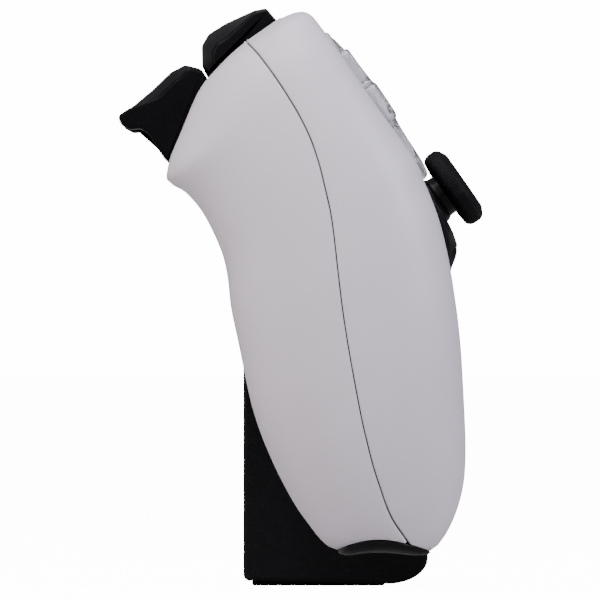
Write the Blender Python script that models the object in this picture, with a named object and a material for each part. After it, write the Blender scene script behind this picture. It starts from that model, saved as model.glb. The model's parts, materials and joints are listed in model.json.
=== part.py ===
"""Two-handed wireless game controller standing in a desk stand.

The controller is modelled in its own pad frame (u to the player's right, v towards the
triggers, w out of the face, millimetres) under an empty that leans it back in the stand.
The world origin is the centre of the stand's underside, +Z up, the face looks to -Y.
"""
import math

import bmesh
import bpy
import numpy as np
from mathutils import Euler, Vector

MM = 0.001

# ---- Driving dimensions of the controller, millimetres ----
WING_SPAN = 48.5         # touchpad's side to the widest point of a grip
TOP_V = 47.1             # shell's top edge, where the bumpers come out
GRIP_TIP_V = -56.5       # lowest point of a grip
FACE_W = 19.3            # flat part of the white face
BELLY_W = -18.0          # flat middle of the back cover
TRIM_W = 17.8            # black trim between the sticks
CROTCH_V = -13.0         # lower edge of the body between the grips
WALL = 2.0               # shell thickness
NARROW_SHARE = 0.3       # a shell's wall is at most this share of its width
GAP = 0.35               # clearance between neighbouring pieces
CLUSTER_INSET = 28.0     # directional pad's and face buttons' centre in from the grip's side
CLUSTER_V = 22.0
STICK_U = 26.0
STICK_V = 0.0
STICK_HOLE_R = 10.6
STICK_CAP_R = 8.2
STICK_CAP_LOW_W = 20.9
STICK_CAP_TOP_W = 25.3
STICK_CENTRE_W = 5.0     # both tilt axes of a stick cross here
TOUCH_HALF_U = 31.5      # light bar's outer side, from the mirror plane
HALF_WIDTH = TOUCH_HALF_U + WING_SPAN     # mirror plane to the widest point of a grip
TOUCH_LOW_V = 13.0
TOUCH_W = 19.6
DPAD_REACH = 13.0
DPAD_ARM = 9.0
DPAD_TOP_W = 21.7
DPAD_GAP = 0.6           # room round the directional pad for its tilt
FACE_BUTTON_R = 5.3
FACE_BUTTON_PITCH = 12.0
FACE_BUTTON_TOP_W = 21.3
MENU_INSET = 5.1         # menu buttons out from the light bar
MENU_V = 36.5
HOME_R = 6.0
HOME_V = 3.5
MUTE_V = -6.5
BUMPER_INSET = 20.0      # outer end of bumper and trigger in from the grip's side
BUMPER_LENGTH = 25.0
BUMPER_OUT_U = HALF_WIDTH - BUMPER_INSET
BUMPER_IN_U = BUMPER_OUT_U - BUMPER_LENGTH
SHOULDER_CLEAR = 0.6
SHOULDER_LOW_V = 32.0    # lower edge of the opening for bumper and trigger
TRIGGER_AXIS_W = -7.2
TRIGGER_AXIS_V = 43.4
BUMPER_AXIS_V = 41.5
BUMPER_AXIS_W = 4.0
BOARD_W = -1.2           # main board's rear face
BOARD_T = 1.2
FRAME_W = 8.6            # mid frame's rear face
FRAME_T = 1.4
BATTERY_T = 8.0

# ---- Driving dimensions of the stand ----
STAND_HALF_X = 21.0
STAND_DEPTH = 36.7
STAND_FRONT_BACK = 8.0   # the lower front edge is a quarter ellipse: this far back
STAND_FRONT_RISE = 5.2   # and this far up
STAND_FLOOR_GAP = 0.35   # the body clears the desk by this; the foot carries it
FOOT_INSET = 1.7         # foot in from the body's sides, in a pocket of its own
STAND_WALL = 3.0
FOOT_T = 1.2
LEAN = math.radians(55.0)          # pad frame turned back about X
PAD_Y = -4.8                       # pad frame's origin in the stand's frame
PAD_Z = 66.1
NOTCH_PAD_T = 1.0                  # rubber lining of the notch


def hexa(r, g, b):
    """Linear colour from three numbers."""
    return (r, g, b, 1.0)


COLOURS = {
    "white_shell": (hexa(0.60, 0.59, 0.61), 0.45, 0.0),
    "black_plastic": (hexa(0.012, 0.012, 0.014), 0.5, 0.0),
    "stand_plastic": (hexa(0.008, 0.008, 0.010), 0.6, 0.0),
    "clear_plastic": (hexa(0.75, 0.75, 0.78), 0.15, 0.0),
    "touch_white": (hexa(0.62, 0.61, 0.63), 0.4, 0.0),
    "light_guide": (hexa(0.7, 0.75, 0.85), 0.3, 0.0),
    "stick_rubber": (hexa(0.02, 0.02, 0.022), 0.8, 0.0),
    "inner_plastic": (hexa(0.05, 0.05, 0.05), 0.6, 0.0),
    "membrane_rubber": (hexa(0.2, 0.2, 0.2), 0.8, 0.0),
    "board_green": (hexa(0.02, 0.09, 0.04), 0.5, 0.0),
    "steel": (hexa(0.5, 0.5, 0.5), 0.35, 1.0),
    "battery_wrap": (hexa(0.05, 0.05, 0.06), 0.5, 0.0),
}

for old in list(bpy.data.objects):
    bpy.data.objects.remove(old, do_unlink=True)


def material(name):
    """The named material, made the first time that it is asked for."""
    if name in bpy.data.materials:
        return bpy.data.materials[name]
    colour, rough, metal = COLOURS[name]
    made = bpy.data.materials.new(name)
    made.use_nodes = True
    shader = made.node_tree.nodes["Principled BSDF"]
    shader.inputs["Base Color"].default_value = colour
    shader.inputs["Roughness"].default_value = rough
    shader.inputs["Metallic"].default_value = metal
    return made


def empty(name, at=(0, 0, 0), parent=None, turn=(0, 0, 0)):
    """An empty that holds pieces; its place is in millimetres in its parent's frame."""
    made = bpy.data.objects.new(name, None)
    bpy.context.collection.objects.link(made)
    made.location = Vector(at) * MM
    made.rotation_euler = Euler(turn)
    made.parent = parent
    return made


PAD = empty("pad_frame", (0, PAD_Y, PAD_Z), turn=(LEAN, 0, 0))
STAND = empty("stand_frame")


def piece(name, verts, faces, finish, parent=PAD, at=(0, 0, 0), cutter=False):
    """An object from points in its parent's frame (mm) whose origin is at the point `at`."""
    mesh = bpy.data.meshes.new(name)
    origin = np.asarray(at, float)
    points = (np.asarray(verts, float) - origin) * MM
    mesh.from_pydata([tuple(p) for p in points], [], [tuple(int(i) for i in f) for f in faces])
    made = bpy.data.objects.new(name, mesh)
    bpy.context.collection.objects.link(made)
    made.location = Vector(at) * MM
    made.parent = parent
    if cutter:
        made.hide_render = True
        made.display_type = "WIRE"
    else:
        mesh.materials.append(material(finish))
    face_out(mesh)
    return made


def face_out(mesh):
    """Merge doubled points and make every face look outwards."""
    work = bmesh.new()
    work.from_mesh(mesh)
    bmesh.ops.remove_doubles(work, verts=work.verts, dist=1e-6)
    bmesh.ops.triangulate(work, faces=[f for f in work.faces if len(f.verts) == 4])
    bmesh.ops.recalc_face_normals(work, faces=work.faces)
    work.to_mesh(mesh)
    work.free()


def grid_faces(rows, cols, first=0, close_cols=False):
    """Quads of a grid of points stored row by row."""
    out = []
    for r in range(rows - 1):
        for c in range(cols if close_cols else cols - 1):
            d = (c + 1) % cols
            out.append((first + r * cols + c, first + r * cols + d,
                        first + (r + 1) * cols + d, first + (r + 1) * cols + c))
    return out


def extrude_profile(name, profile, low, high, axis, finish, parent=PAD, at=(0, 0, 0), cutter=False, bevel=0.0):
    """A closed outline of two coordinates carried from low to high along the third axis."""
    count = len(profile)
    verts = []
    for level in (low, high):
        for a, b in profile:
            point = {"u": (level, a, b), "v": (a, level, b), "w": (a, b, level)}[axis]
            verts.append(point)
    faces = [tuple(range(count)), tuple(range(2 * count - 1, count - 1, -1))]
    faces += [(i, (i + 1) % count, count + (i + 1) % count, count + i) for i in range(count)]
    made = piece(name, verts, faces, finish, parent, at, cutter)
    if bevel:
        soften(made, bevel)
    return made


def soften(made, width, segments=1):
    """Bevel a piece's sharp edges."""
    mod = made.modifiers.new("edge", "BEVEL")
    mod.width = width * MM
    mod.segments = segments
    mod.limit_method = "ANGLE"
    mod.angle_limit = math.radians(50)


def box(name, low, high, finish, parent=PAD, at=(0, 0, 0), cutter=False, bevel=0.0):
    """A block between two corners."""
    outline = [(low[0], low[1]), (high[0], low[1]), (high[0], high[1]), (low[0], high[1])]
    return extrude_profile(name, outline, low[2], high[2], "w", finish, parent, at, cutter, bevel)


def turned(name, rings, centre, finish, parent=PAD, at=None, sides=20, cutter=False, axis="w"):
    """A turned piece: rings of (radius, height) closed at both ends by a flat cap."""
    verts = []
    for radius, height in rings:
        for k in range(sides):
            turn = 2 * math.pi * k / sides
            a, b = radius * math.cos(turn), radius * math.sin(turn)
            offset = {"w": (a, b, height), "u": (height, a, b), "v": (a, height, b)}[axis]
            verts.append(tuple(np.add(centre, offset)))
    faces = grid_faces(len(rings), sides, close_cols=True)
    faces.append(tuple(range(sides)))
    faces.append(tuple(range((len(rings) - 1) * sides, len(rings) * sides)))
    made = piece(name, verts, faces, finish, parent, centre if at is None else at, cutter)
    made.data.shade_smooth()
    made.data.set_sharp_from_angle(angle=math.radians(40))
    return made


def cut(target, cutter):
    """Take the cutter's volume out of the target."""
    mod = target.modifiers.new("cut_" + cutter.name, "BOOLEAN")
    mod.operation = "DIFFERENCE"
    mod.solver = "EXACT"
    mod.object = cutter


def disc(centre, radius, sides=20):
    """Outline of a circle."""
    turn = 2 * np.pi * np.arange(sides) / sides
    return [(centre[0] + radius * math.cos(t), centre[1] + radius * math.sin(t)) for t in turn]


def cross(centre, reach, arm):
    """Outline of a plus sign."""
    h = arm / 2
    corners = [(h, reach), (h, h), (reach, h), (reach, -h), (h, -h), (h, -reach),
               (-h, -reach), (-h, -h), (-reach, -h), (-reach, h), (-h, h), (-h, reach)]
    return [(centre[0] + a, centre[1] + b) for a, b in corners]


# ---- The shell's form ----
SIDE_U = [(47.1, 0.775), (44, 0.84), (38, 0.89), (30, 0.925), (20, 0.957), (8, 0.982), (-5, 0.997), (-15, 1.0),
          (-25, 0.994), (-35, 0.975), (-45, 0.937), (-50, 0.905), (-54, 0.868), (-56.5, 0.8125)]
INNER_V = [(0, -13), (10, -13.6), (20, -15), (30, -18.5), (37, -24), (43, -32), (48, -41), (52, -48),
           (57, -53.5), (61, -56), (65, -56.5)]
CREST = [(47.1, 18.6), (41, 19.0), (36, 19.3), (9, 19.3), (6, 18.4), (-2, 16.7), (-9, 14.1), (-18, 10),
         (-25.5, 6), (-35, 0.3), (-42.5, -4.5), (-49, -9.0), (-56.5, -13.5)]
TRIM_CREST = [(14, 18.3), (8, 17.9), (0, 17.7), (-7, 17.5), (-10, 17.3), (-13, 17.0), (-20, 9.5), (-60, -16)]
BACK = [(47.1, 5.5), (46.8, 0), (45.8, -4.5), (45.2, -6.5), (43.2, -10), (40, -15), (36, -21.5), (33.5, -23),
        (31.5, -22), (28.5, -21.2), (25, -20.9), (21, -21.3), (15.5, -22.4), (11.5, -24), (6, -27), (-1, -30),
        (-7.5, -32.8), (-13, -35), (-20, -37), (-29, -38.6), (-35, -39.1), (-40, -39), (-43.3, -38.5), (-45.5, -37.2),
        (-48, -35.2), (-56.5, -31)]
SEAM = [(47.1, 5.5), (43, 6), (38, 6.1), (31, 5.8), (25, 5), (19.5, 3.5), (13, 1), (10.5, 0), (5.5, -2.5),
        (0, -5.5), (-8.5, -10), (-19, -15), (-30.5, -20), (-39, -23), (-48, -25), (-56.5, -25)]
U_SCALE = HALF_WIDTH / 80.0


def read(table, x):
    """Straight-line reading of a (position, value) table; positions may run either way."""
    rows = np.array(sorted(table))
    return np.interp(x, rows[:, 0], rows[:, 1])


def side_u(v):
    """Half width of the outline at height v."""
    return HALF_WIDTH * read(SIDE_U, v)


def inner_v(u):
    """Lower edge of the body between and along the grips."""
    return read([(a * U_SCALE, b) for a, b in INNER_V], u)


def outline():
    """The closed half outline: inner edge from the centre to the tip, side, then top edge."""
    inner = [(a * U_SCALE, b) for a, b in INNER_V]
    side = [(float(side_u(v)), v) for v, _ in reversed(SIDE_U)]
    return np.array(inner + side[1:] + [(0.0, TOP_V)])


OUTLINE = outline()
SIDE_START = len(INNER_V) - 1


def inward(u, v):
    """Unit direction in plan from the nearest stretch of outline towards the inside."""
    _, best = nearest(u, v)
    along = (OUTLINE[1:] - OUTLINE[:-1])[best]
    along = along / np.linalg.norm(along, axis=-1, keepdims=True)
    return np.stack([-along[..., 1] * np.where(u < 0, -1, 1), along[..., 0]], -1)


def nearest(u, v):
    """Distances to every stretch of the outline, and the nearest one's number."""
    a, b = OUTLINE[:-1], OUTLINE[1:]
    along = b - a
    p = np.stack([np.abs(u), v], -1)[..., None, :]
    t = np.clip(((p - a) * along).sum(-1) / (along ** 2).sum(-1), 0, 1)
    gap = np.linalg.norm(p - (a + along * t[..., None]), axis=-1)
    return gap, gap.argmin(-1)


def rim(u, v):
    """Distance to the outline, and there: seam height, roll-off radius and squareness."""
    a, b = OUTLINE[:-1], OUTLINE[1:]
    along = b - a
    p = np.stack([np.abs(u), v], -1)[..., None, :]
    t = np.clip(((p - a) * along).sum(-1) / (along ** 2).sum(-1), 0, 1)
    foot = a + along * t[..., None]
    gap = np.linalg.norm(p - foot, axis=-1)
    best = gap.argmin(-1)
    take = best[..., None]
    distance = np.take_along_axis(gap, take, -1)[..., 0]
    where = np.take_along_axis(foot, take[..., None], -2)[..., 0, :]
    inner = best < SIDE_START
    top = best == len(a) - 1
    seam = read(SEAM, where[..., 1])
    share = np.clip(where[..., 0] / (60.0 * U_SCALE), 0, 1)
    seam = np.where(inner, -3.0 * (1 - share) + seam * share, seam)
    radius = np.where(top, 5.0, np.where(inner, 8.0 + 5.0 * share, 15.0))
    square = np.where(top, 4.0, 2.3)
    return distance, seam, radius, square


def roll(distance, radius, square):
    """Superellipse roll-off: 0 on the outline, 1 from the radius inwards."""
    x = 1 - np.clip(distance / radius, 0, 1)
    return (1 - x ** square) ** (1 / square)


def blend(x, low, high):
    """Smooth step from 0 at low to 1 at high."""
    t = np.clip((x - low) / (high - low), 0, 1)
    return t * t * (3 - 2 * t)


def front_w(u, v, trim=False):
    """Height of the front surface."""
    distance, seam, radius, square = rim(u, v)
    crest = read(TRIM_CREST, v) if trim else read(CREST, v)
    return seam + (crest - seam) * roll(distance, radius, square)


def back_w(u, v):
    """Height of the back surface."""
    distance, seam, radius, square = rim(u, v)
    grip = read(BACK, v)
    middle = np.maximum(grip, BELLY_W)
    share = blend(np.abs(u), 22.0, 46.0)
    crest = middle * (1 - share) + grip * share
    crest = np.minimum(crest, seam)
    return seam + (crest - seam) * roll(distance, radius, square)


def shell(name, u, v, w, finish, side, parent=PAD):
    """A wall-thick shell from a grid of outer points; side is +1 for front, -1 for back.

    The inner skin is the outer one moved straight in where it is flat and sideways from the
    outline where it rolls over, and the four borders are stitched.
    """
    outer = np.stack([u, v, w], -1)
    distance, _, radius, _ = rim(u, v)
    upright = blend(distance, 0.0, radius * 0.7)
    plan = inward(u, v) * (1 - upright)[..., None]
    width = np.hypot(u[:, -1] - u[:, 0], v[:, -1] - v[:, 0])
    wall = np.minimum(WALL, width * NARROW_SHARE)[:, None, None]
    inner = outer + wall * np.concatenate([plan, -side * upright[..., None]], -1)
    rows, cols = u.shape
    count = rows * cols
    verts = np.concatenate([outer.reshape(-1, 3), inner.reshape(-1, 3)])
    faces = grid_faces(rows, cols) + [f[::-1] for f in grid_faces(rows, cols, count)]
    loop = [(0, c) for c in range(cols)] + [(r, cols - 1) for r in range(1, rows)]
    loop += [(rows - 1, c) for c in range(cols - 2, -1, -1)] + [(r, 0) for r in range(rows - 2, 0, -1)]
    ring = [r * cols + c for r, c in loop]
    for k, first in enumerate(ring):
        second = ring[(k + 1) % len(ring)]
        faces.append((first, second, second + count, first + count))
    return piece(name, verts, faces, finish, parent)


def spaced(count, low_dense=True, high_dense=True):
    """Numbers from 0 to 1, closer together at the ends that ask for it."""
    t = np.linspace(0, 1, count)
    if low_dense and high_dense:
        return 0.5 - 0.5 * np.cos(np.pi * t)
    if high_dense:
        return np.sin(np.pi / 2 * t)
    return t


# Where the white wing meets the trim and the touchpad.
WING_GAP_U = 1.0         # light bar's side to the wing's edge
WING_EDGE = [(8, 35.5), (2, 38.0), (-6, 40.0), (-14, 43.0), (-23, 47.5), (-33, 52.0),
             (-43, 56.5), (-49, 59.0), (-53, 60.8), (-56.5, 62.0)]


def wing_edge(v):
    """Inner edge of a white wing: beside the light bar above, along the trim below."""
    beside = TOUCH_HALF_U + WING_GAP_U
    rows = [(TOP_V, beside), (TOUCH_LOW_V, beside)] + [(a, b * U_SCALE) for a, b in WING_EDGE]
    return read(rows, v)


def front_wing(name, sign):
    """White front cover of one side: rows across, from the top edge to the grip's tip."""
    rows = np.concatenate([[TOP_V - 0.02, TOP_V - 0.6, TOP_V - 2.2], np.linspace(TOP_V - 5, -42, 15),
                           [-47, -51, -53.6, -55.4]])
    share = spaced(9, False, True)
    near = wing_edge(rows) + GAP
    far = side_u(rows) - 0.02
    u = near[:, None] + (far - near)[:, None] * share
    v = rows[:, None] + 0 * u
    w = np.maximum(front_w(u, v), read(SEAM, v) + GAP / 2)
    w[0] = read(SEAM, TOP_V) + GAP / 2
    w[:, -1] = read(SEAM, rows) + GAP / 2
    return shell(name, sign * u, v, w, "white_shell", 1)


def trim_curves(count):
    """Lower and upper edge of the black trim from the centre line to the grip's tip."""
    s = np.linspace(0, 1, count)
    low_key = np.array([0, 12, 24, 35, 42, 47.5, 53, 58.5])
    top = TOUCH_LOW_V - 0.7
    flat = (TOUCH_HALF_U - 3.5) / U_SCALE
    high_key = np.array([(0, top), (flat / 2, top), (flat, top), (38, 2), (42.5, -13), (48, -25), (54, -39),
                         (59.6, -51.6)])
    steps = np.linspace(0, 1, len(low_key))
    low_u = np.interp(s, steps, low_key) * U_SCALE
    low = np.stack([low_u, inner_v(low_u)], -1)
    high = np.stack([np.interp(s, steps, high_key[:, k]) for k in (0, 1)], -1)
    high[:, 0] = np.minimum(high[:, 0] * U_SCALE, wing_edge(high[:, 1]) - GAP)
    return low, high


def trim_points():
    """Grid of the trim: mirrored rungs from the lower edge to the upper edge."""
    low, high = trim_curves(13)
    share = np.array([0.0, 0.03, 0.1, 0.25, 0.5, 0.75, 1.0])
    half = low[:, None] + (high - low)[:, None] * share[None, :, None]
    left = half[:0:-1] * np.array([-1, 1])
    full = np.concatenate([left, half])
    u, v = full[..., 0], full[..., 1]
    reach = blend(np.abs(u), 36.0, 46.0)
    w = front_w(u, v, trim=True) * (1 - reach) + front_w(u, v) * reach
    _, seam, _, _ = rim(u, v)
    w[:, 0] = seam[:, 0]
    return u, v, np.maximum(w, seam + GAP / 2)


def back_points():
    """Grid of the back cover: ribs from the inner edge out to the outline."""
    inner_key = np.array([0, 14, 26, 36, 43, 48, 53, 60])
    outer_key = np.array([(0, 47.1), (28, 47.1), (61, 47.1), (71, 38), (76.6, 20), (79.8, -5), (79.5, -25),
                          (73, -49)])
    steps = np.linspace(0, 1, len(inner_key))
    s = np.linspace(0, 1, 15)
    inner_u = np.interp(s, steps, inner_key) * U_SCALE
    inner = np.stack([inner_u, inner_v(inner_u)], -1)
    outer = np.stack([np.interp(s, steps, outer_key[:, k]) for k in (0, 1)], -1) * np.array([U_SCALE, 1])
    on_side = outer[:, 1] < 44
    outer[on_side, 0] = side_u(outer[on_side, 1]) - 0.02
    share = spaced(13)
    half = inner[:, None] + (outer - inner)[:, None] * share[None, :, None]
    left = half[:0:-1] * np.array([-1, 1])
    full = np.concatenate([left, half])
    u, v = full[..., 0], full[..., 1]
    _, seam, _, _ = rim(u, v)
    w = np.minimum(back_w(u, v), seam - GAP / 2)
    w[:, 0] = seam[:, 0] - GAP / 2
    w[:, -1] = seam[:, -1] - GAP / 2
    return u, v, w


cluster_u = HALF_WIDTH - CLUSTER_INSET

front_left = front_wing("front_cover_left", -1)
front_right = front_wing("front_cover_right", 1)
trim = shell("centre_trim", *trim_points(), "black_plastic", 1)
back = shell("back_cover", *back_points(), "white_shell", -1)

# ---- Openings in the shells ----
for sign, cover in ((-1, front_left), (1, front_right)):
    tag = "left" if sign < 0 else "right"
    spans = sorted((sign * (BUMPER_IN_U - SHOULDER_CLEAR), sign * (BUMPER_OUT_U + SHOULDER_CLEAR)))
    shoulder = box("cut_shoulder_" + tag, (spans[0], SHOULDER_LOW_V, -32), (spans[1], TOP_V + 12, 13.2), None, cutter=True)
    cut(cover, shoulder)
    cut(back, shoulder)
    menu = extrude_profile("cut_menu_" + tag, disc((sign * (TOUCH_HALF_U + MENU_INSET), MENU_V), 1.9, 12), 10, 24, "w", None,
                           cutter=True)
    cut(cover, menu)
    stick_cut = extrude_profile("cut_stick_" + tag, disc((sign * STICK_U, STICK_V), STICK_HOLE_R, 28), 4, 24, "w",
                                None, cutter=True)
    cut(trim, stick_cut)

dpad_cut = extrude_profile("cut_dpad", cross((-cluster_u, CLUSTER_V), DPAD_REACH + DPAD_GAP, DPAD_ARM + 2 * DPAD_GAP), 8, 26,
                           "w", None, cutter=True)
cut(front_left, dpad_cut)
BUTTON_SPOTS = {"north": (0, 1), "east": (1, 0), "south": (0, -1), "west": (-1, 0)}
for word, (du, dv) in BUTTON_SPOTS.items():
    spot = (cluster_u + du * FACE_BUTTON_PITCH, CLUSTER_V + dv * FACE_BUTTON_PITCH)
    hole = extrude_profile("cut_button_" + word, disc(spot, FACE_BUTTON_R + GAP, 20), 8, 26, "w", None, cutter=True)
    cut(front_right, hole)
home_cut = extrude_profile("cut_home", disc((0, HOME_V), HOME_R + GAP, 20), 10, 24, "w", None, cutter=True)
mute_cut = box("cut_mute", (-4.4, MUTE_V - 1.7, 10), (4.4, MUTE_V + 1.7, 24), None, cutter=True)
cut(trim, home_cut)
cut(trim, mute_cut)

# ---- Grip caps: the part of each grip beyond a slanted cut across its tip ----
CUT_HIGH = (-37.2, -45.3)     # cut line in the (w, v) side view, its rear end
CUT_LOW = (-22.2, -56.1)      # and its front end


def tip_side(offset):
    """A big block beyond the cut line, moved along the line's normal by the offset."""
    a = np.array(CUT_HIGH)
    b = np.array(CUT_LOW)
    along = (b - a) / np.linalg.norm(b - a)
    normal = np.array([along[1], -along[0]])
    if normal[1] > 0:
        normal = -normal
    start = a - along * 30 + normal * offset
    end = b + along * 30 + normal * offset
    far = normal * 40
    return [(p[1], p[0]) for p in (start, end, end + far, start + far)]


tip_block = extrude_profile("cut_tip", tip_side(0.0), -HALF_WIDTH - 20, HALF_WIDTH + 20, "u", None, cutter=True)
cut(back, tip_block)
for cover in (front_left, front_right, trim):
    cut(cover, tip_block)


def grip_cap(name, sign):
    """Low black dome that closes the end of a grip, parallel to the slanted cut."""
    a, b = np.array(CUT_HIGH), np.array(CUT_LOW)
    along = (b - a) / np.linalg.norm(b - a)
    normal = np.array([along[1], -along[0]])
    if normal[1] > 0:
        normal = -normal
    middle = (a + b) / 2
    centre_u = 64.5 * U_SCALE
    verts = []
    levels = [(0.95, 0.5), (1.0, 1.0), (0.7, 2.0), (0.3, 2.5)]
    for size, depth in levels:
        for k in range(18):
            turn = 2 * math.pi * k / 18
            reach = math.cos(turn) * 9.2 * size
            p = middle + along * reach + normal * depth
            verts.append((sign * (centre_u + 9.0 * size * math.sin(turn)), p[1], p[0]))
    faces = grid_faces(len(levels), 18, close_cols=True) + [tuple(range(18)), tuple(range(54, 72))]
    return piece(name, verts, faces, "black_plastic")


grip_cap("left_grip_cap", -1)
grip_cap("right_grip_cap", 1)

# ---- Touchpad, light bar and small buttons ----
HINGE_V = 44.5
LIP_LOW_W = 6.2
touch_side = [(TOUCH_LOW_V + 2.2, TOUCH_W - 2.2), (TOP_V - 2.6, TOUCH_W - 2.2), (TOP_V - 2.6, LIP_LOW_W),
              (TOP_V, LIP_LOW_W), (TOP_V, TOUCH_W - 2.4), (TOP_V - 1.8, TOUCH_W - 0.4), (TOUCH_LOW_V + 2.2, TOUCH_W)]
extrude_profile("touchpad", touch_side, -TOUCH_HALF_U + 2.2, TOUCH_HALF_U - 2.2, "u", "touch_white",
                at=(0, HINGE_V, TOUCH_W - 2.2), bevel=0.5)
light = [(-TOUCH_HALF_U, TOP_V - 0.5), (-TOUCH_HALF_U, TOUCH_LOW_V), (TOUCH_HALF_U, TOUCH_LOW_V),
         (TOUCH_HALF_U, TOP_V - 0.5), (TOUCH_HALF_U - 1.8, TOP_V - 0.5), (TOUCH_HALF_U - 1.8, TOUCH_LOW_V + 1.8),
         (-TOUCH_HALF_U + 1.8, TOUCH_LOW_V + 1.8), (-TOUCH_HALF_U + 1.8, TOP_V - 0.5)]
extrude_profile("light_bar", light, 16.2, 18.6, "w", "light_guide")
for sign, tag in ((-1, "left"), (1, "right")):
    turned(tag + "_menu_button", [(1.5, -4.0), (1.5, 0.3), (1.2, 0.6)],
           (sign * (TOUCH_HALF_U + MENU_INSET), MENU_V, FACE_W), "clear_plastic", sides=12)
turned("home_button", [(HOME_R, -4.0), (HOME_R, 0.3), (HOME_R - 0.5, 0.7)], (0, HOME_V, TRIM_W + 0.2),
       "black_plastic", sides=24)
box("mute_button", (-4.0, MUTE_V - 1.3, 13.5), (4.0, MUTE_V + 1.3, TRIM_W + 0.6), "black_plastic",
    at=(0, MUTE_V, TRIM_W), bevel=0.3)

# ---- Directional pad and face buttons ----
dpad_at = (-cluster_u, CLUSTER_V, 14.2)
dpad = extrude_profile("dpad", cross((-cluster_u, CLUSTER_V), DPAD_REACH, DPAD_ARM), 14.2, DPAD_TOP_W, "w",
                       "clear_plastic", at=dpad_at, bevel=0.5)
turned("dpad_pivot", [(3.0, -2.2), (3.0, -1.4), (1.4, -GAP)], dpad_at, "inner_plastic", sides=14)
MEMBRANE_LOW = FRAME_W + FRAME_T + GAP
extrude_profile("dpad_membrane", disc((-cluster_u, CLUSTER_V), 15.0, 24), MEMBRANE_LOW, MEMBRANE_LOW + 1.2, "w",
                "membrane_rubber")
extrude_profile("face_membrane", disc((cluster_u, CLUSTER_V), 16.5, 24), MEMBRANE_LOW, MEMBRANE_LOW + 1.2, "w",
                "membrane_rubber")
for word, (du, dv) in BUTTON_SPOTS.items():
    spot = (cluster_u + du * FACE_BUTTON_PITCH, CLUSTER_V + dv * FACE_BUTTON_PITCH, FACE_BUTTON_TOP_W)
    turned("button_" + word, [(FACE_BUTTON_R, -8.0), (FACE_BUTTON_R, -0.6), (FACE_BUTTON_R - 0.7, 0)], spot,
           "clear_plastic", sides=20)

# ---- Thumb sticks ----
for sign, tag in ((-1, "left"), (1, "right")):
    u0 = sign * STICK_U
    centre = (u0, STICK_V, STICK_CENTRE_W)
    board_top = BOARD_W + BOARD_T + GAP
    cup = box(tag + "_stick_base", (u0 - 8, STICK_V - 8, board_top), (u0 + 8, STICK_V + 8, board_top + 2.6),
              "inner_plastic", bevel=0.4)
    ring = turned(tag + "_stick_ring", [(STICK_HOLE_R - 0.4, -2.4), (STICK_HOLE_R - 0.4, 0.3),
                                        (STICK_HOLE_R - 0.8, 0.6)], (u0, STICK_V, TRIM_W), "black_plastic", sides=28)
    bore = extrude_profile("cut_ring_" + tag, disc((u0, STICK_V), STICK_HOLE_R - 1.5, 28), 4, 24, "w", None,
                           cutter=True)
    cut(ring, bore)
    yoke = box(tag + "_stick_yoke", (u0 - 6.5, STICK_V - 2.6, STICK_CENTRE_W - 1.4), (u0 + 6.5, STICK_V + 2.6, STICK_CENTRE_W - 0.8), "steel",
               at=centre)
    pivot = box(tag + "_stick_pivot", (u0 - 1.6, STICK_V - 3.4, STICK_CENTRE_W - 0.3), (u0 + 1.6, STICK_V + 3.4, STICK_CENTRE_W + 0.6), "steel",
                at=centre)
    turned(tag + "_stick_stem", [(2.2, 1.0), (4.2, 6.0), (4.2, STICK_CAP_LOW_W - STICK_CENTRE_W - GAP)], centre,
           "black_plastic", sides=16)
    low, top = STICK_CAP_LOW_W - STICK_CENTRE_W, STICK_CAP_TOP_W - STICK_CENTRE_W
    turned(tag + "_stick_cap", [(4.6, low), (STICK_CAP_R - 0.9, low + 0.2), (STICK_CAP_R, low + 1.3),
                                (STICK_CAP_R, top - 1.4), (STICK_CAP_R - 1.2, top), (5.6, top - 0.3),
                                (2.5, top - 0.9)], centre, "stick_rubber", sides=24)

# ---- Bumpers and triggers ----
BUMPER = [(-4.4, 46.5), (-4.3, 47.8), (-2.1, 51.2), (0.2, 52.4), (4.0, 52.3), (10.1, 51.2), (12.2, 50.3),
          (12.7, 47.3), (12.7, 44.6), (4.0, 41.0), (-1.0, 42.0)]
TRIGGER = [(-5.0, 44.5), (-5.2, 47.6), (-7.2, 50.1), (-10.2, 50.6), (-15.2, 49.8), (-20.0, 49.5), (-23.7, 49.6),
           (-24.2, 47.8), (-23.3, 46.0), (-21.4, 45.0), (-20.8, 43.0), (-21.0, 40.0), (-21.0, 36.3), (-9.5, 40.0)]
for sign, tag in ((-1, "left"), (1, "right")):
    low, high = sorted((sign * BUMPER_IN_U, sign * BUMPER_OUT_U))
    extrude_profile(tag + "_bumper", [(b, a) for a, b in BUMPER], low, high, "u", "black_plastic",
                    at=(sign * (BUMPER_IN_U + 2), BUMPER_AXIS_V, BUMPER_AXIS_W), bevel=0.8)
    extrude_profile(tag + "_trigger", [(b, a) for a, b in TRIGGER], low, high, "u", "black_plastic",
                    at=(sign * (BUMPER_IN_U + 12), TRIGGER_AXIS_V, TRIGGER_AXIS_W), bevel=0.8)
    mid = sign * (BUMPER_IN_U + BUMPER_OUT_U) / 2
    turned(tag + "_trigger_spring", [(2.2, 0), (2.2, 3.6)], (mid - 5 * sign, SHOULDER_LOW_V, -10.5), "steel", sides=10, axis="v")
    box(tag + "_trigger_drive", (mid - 9, 19.0, -15.5), (mid + 9, SHOULDER_LOW_V - GAP, -4.5), "inner_plastic", bevel=0.5)

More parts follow.
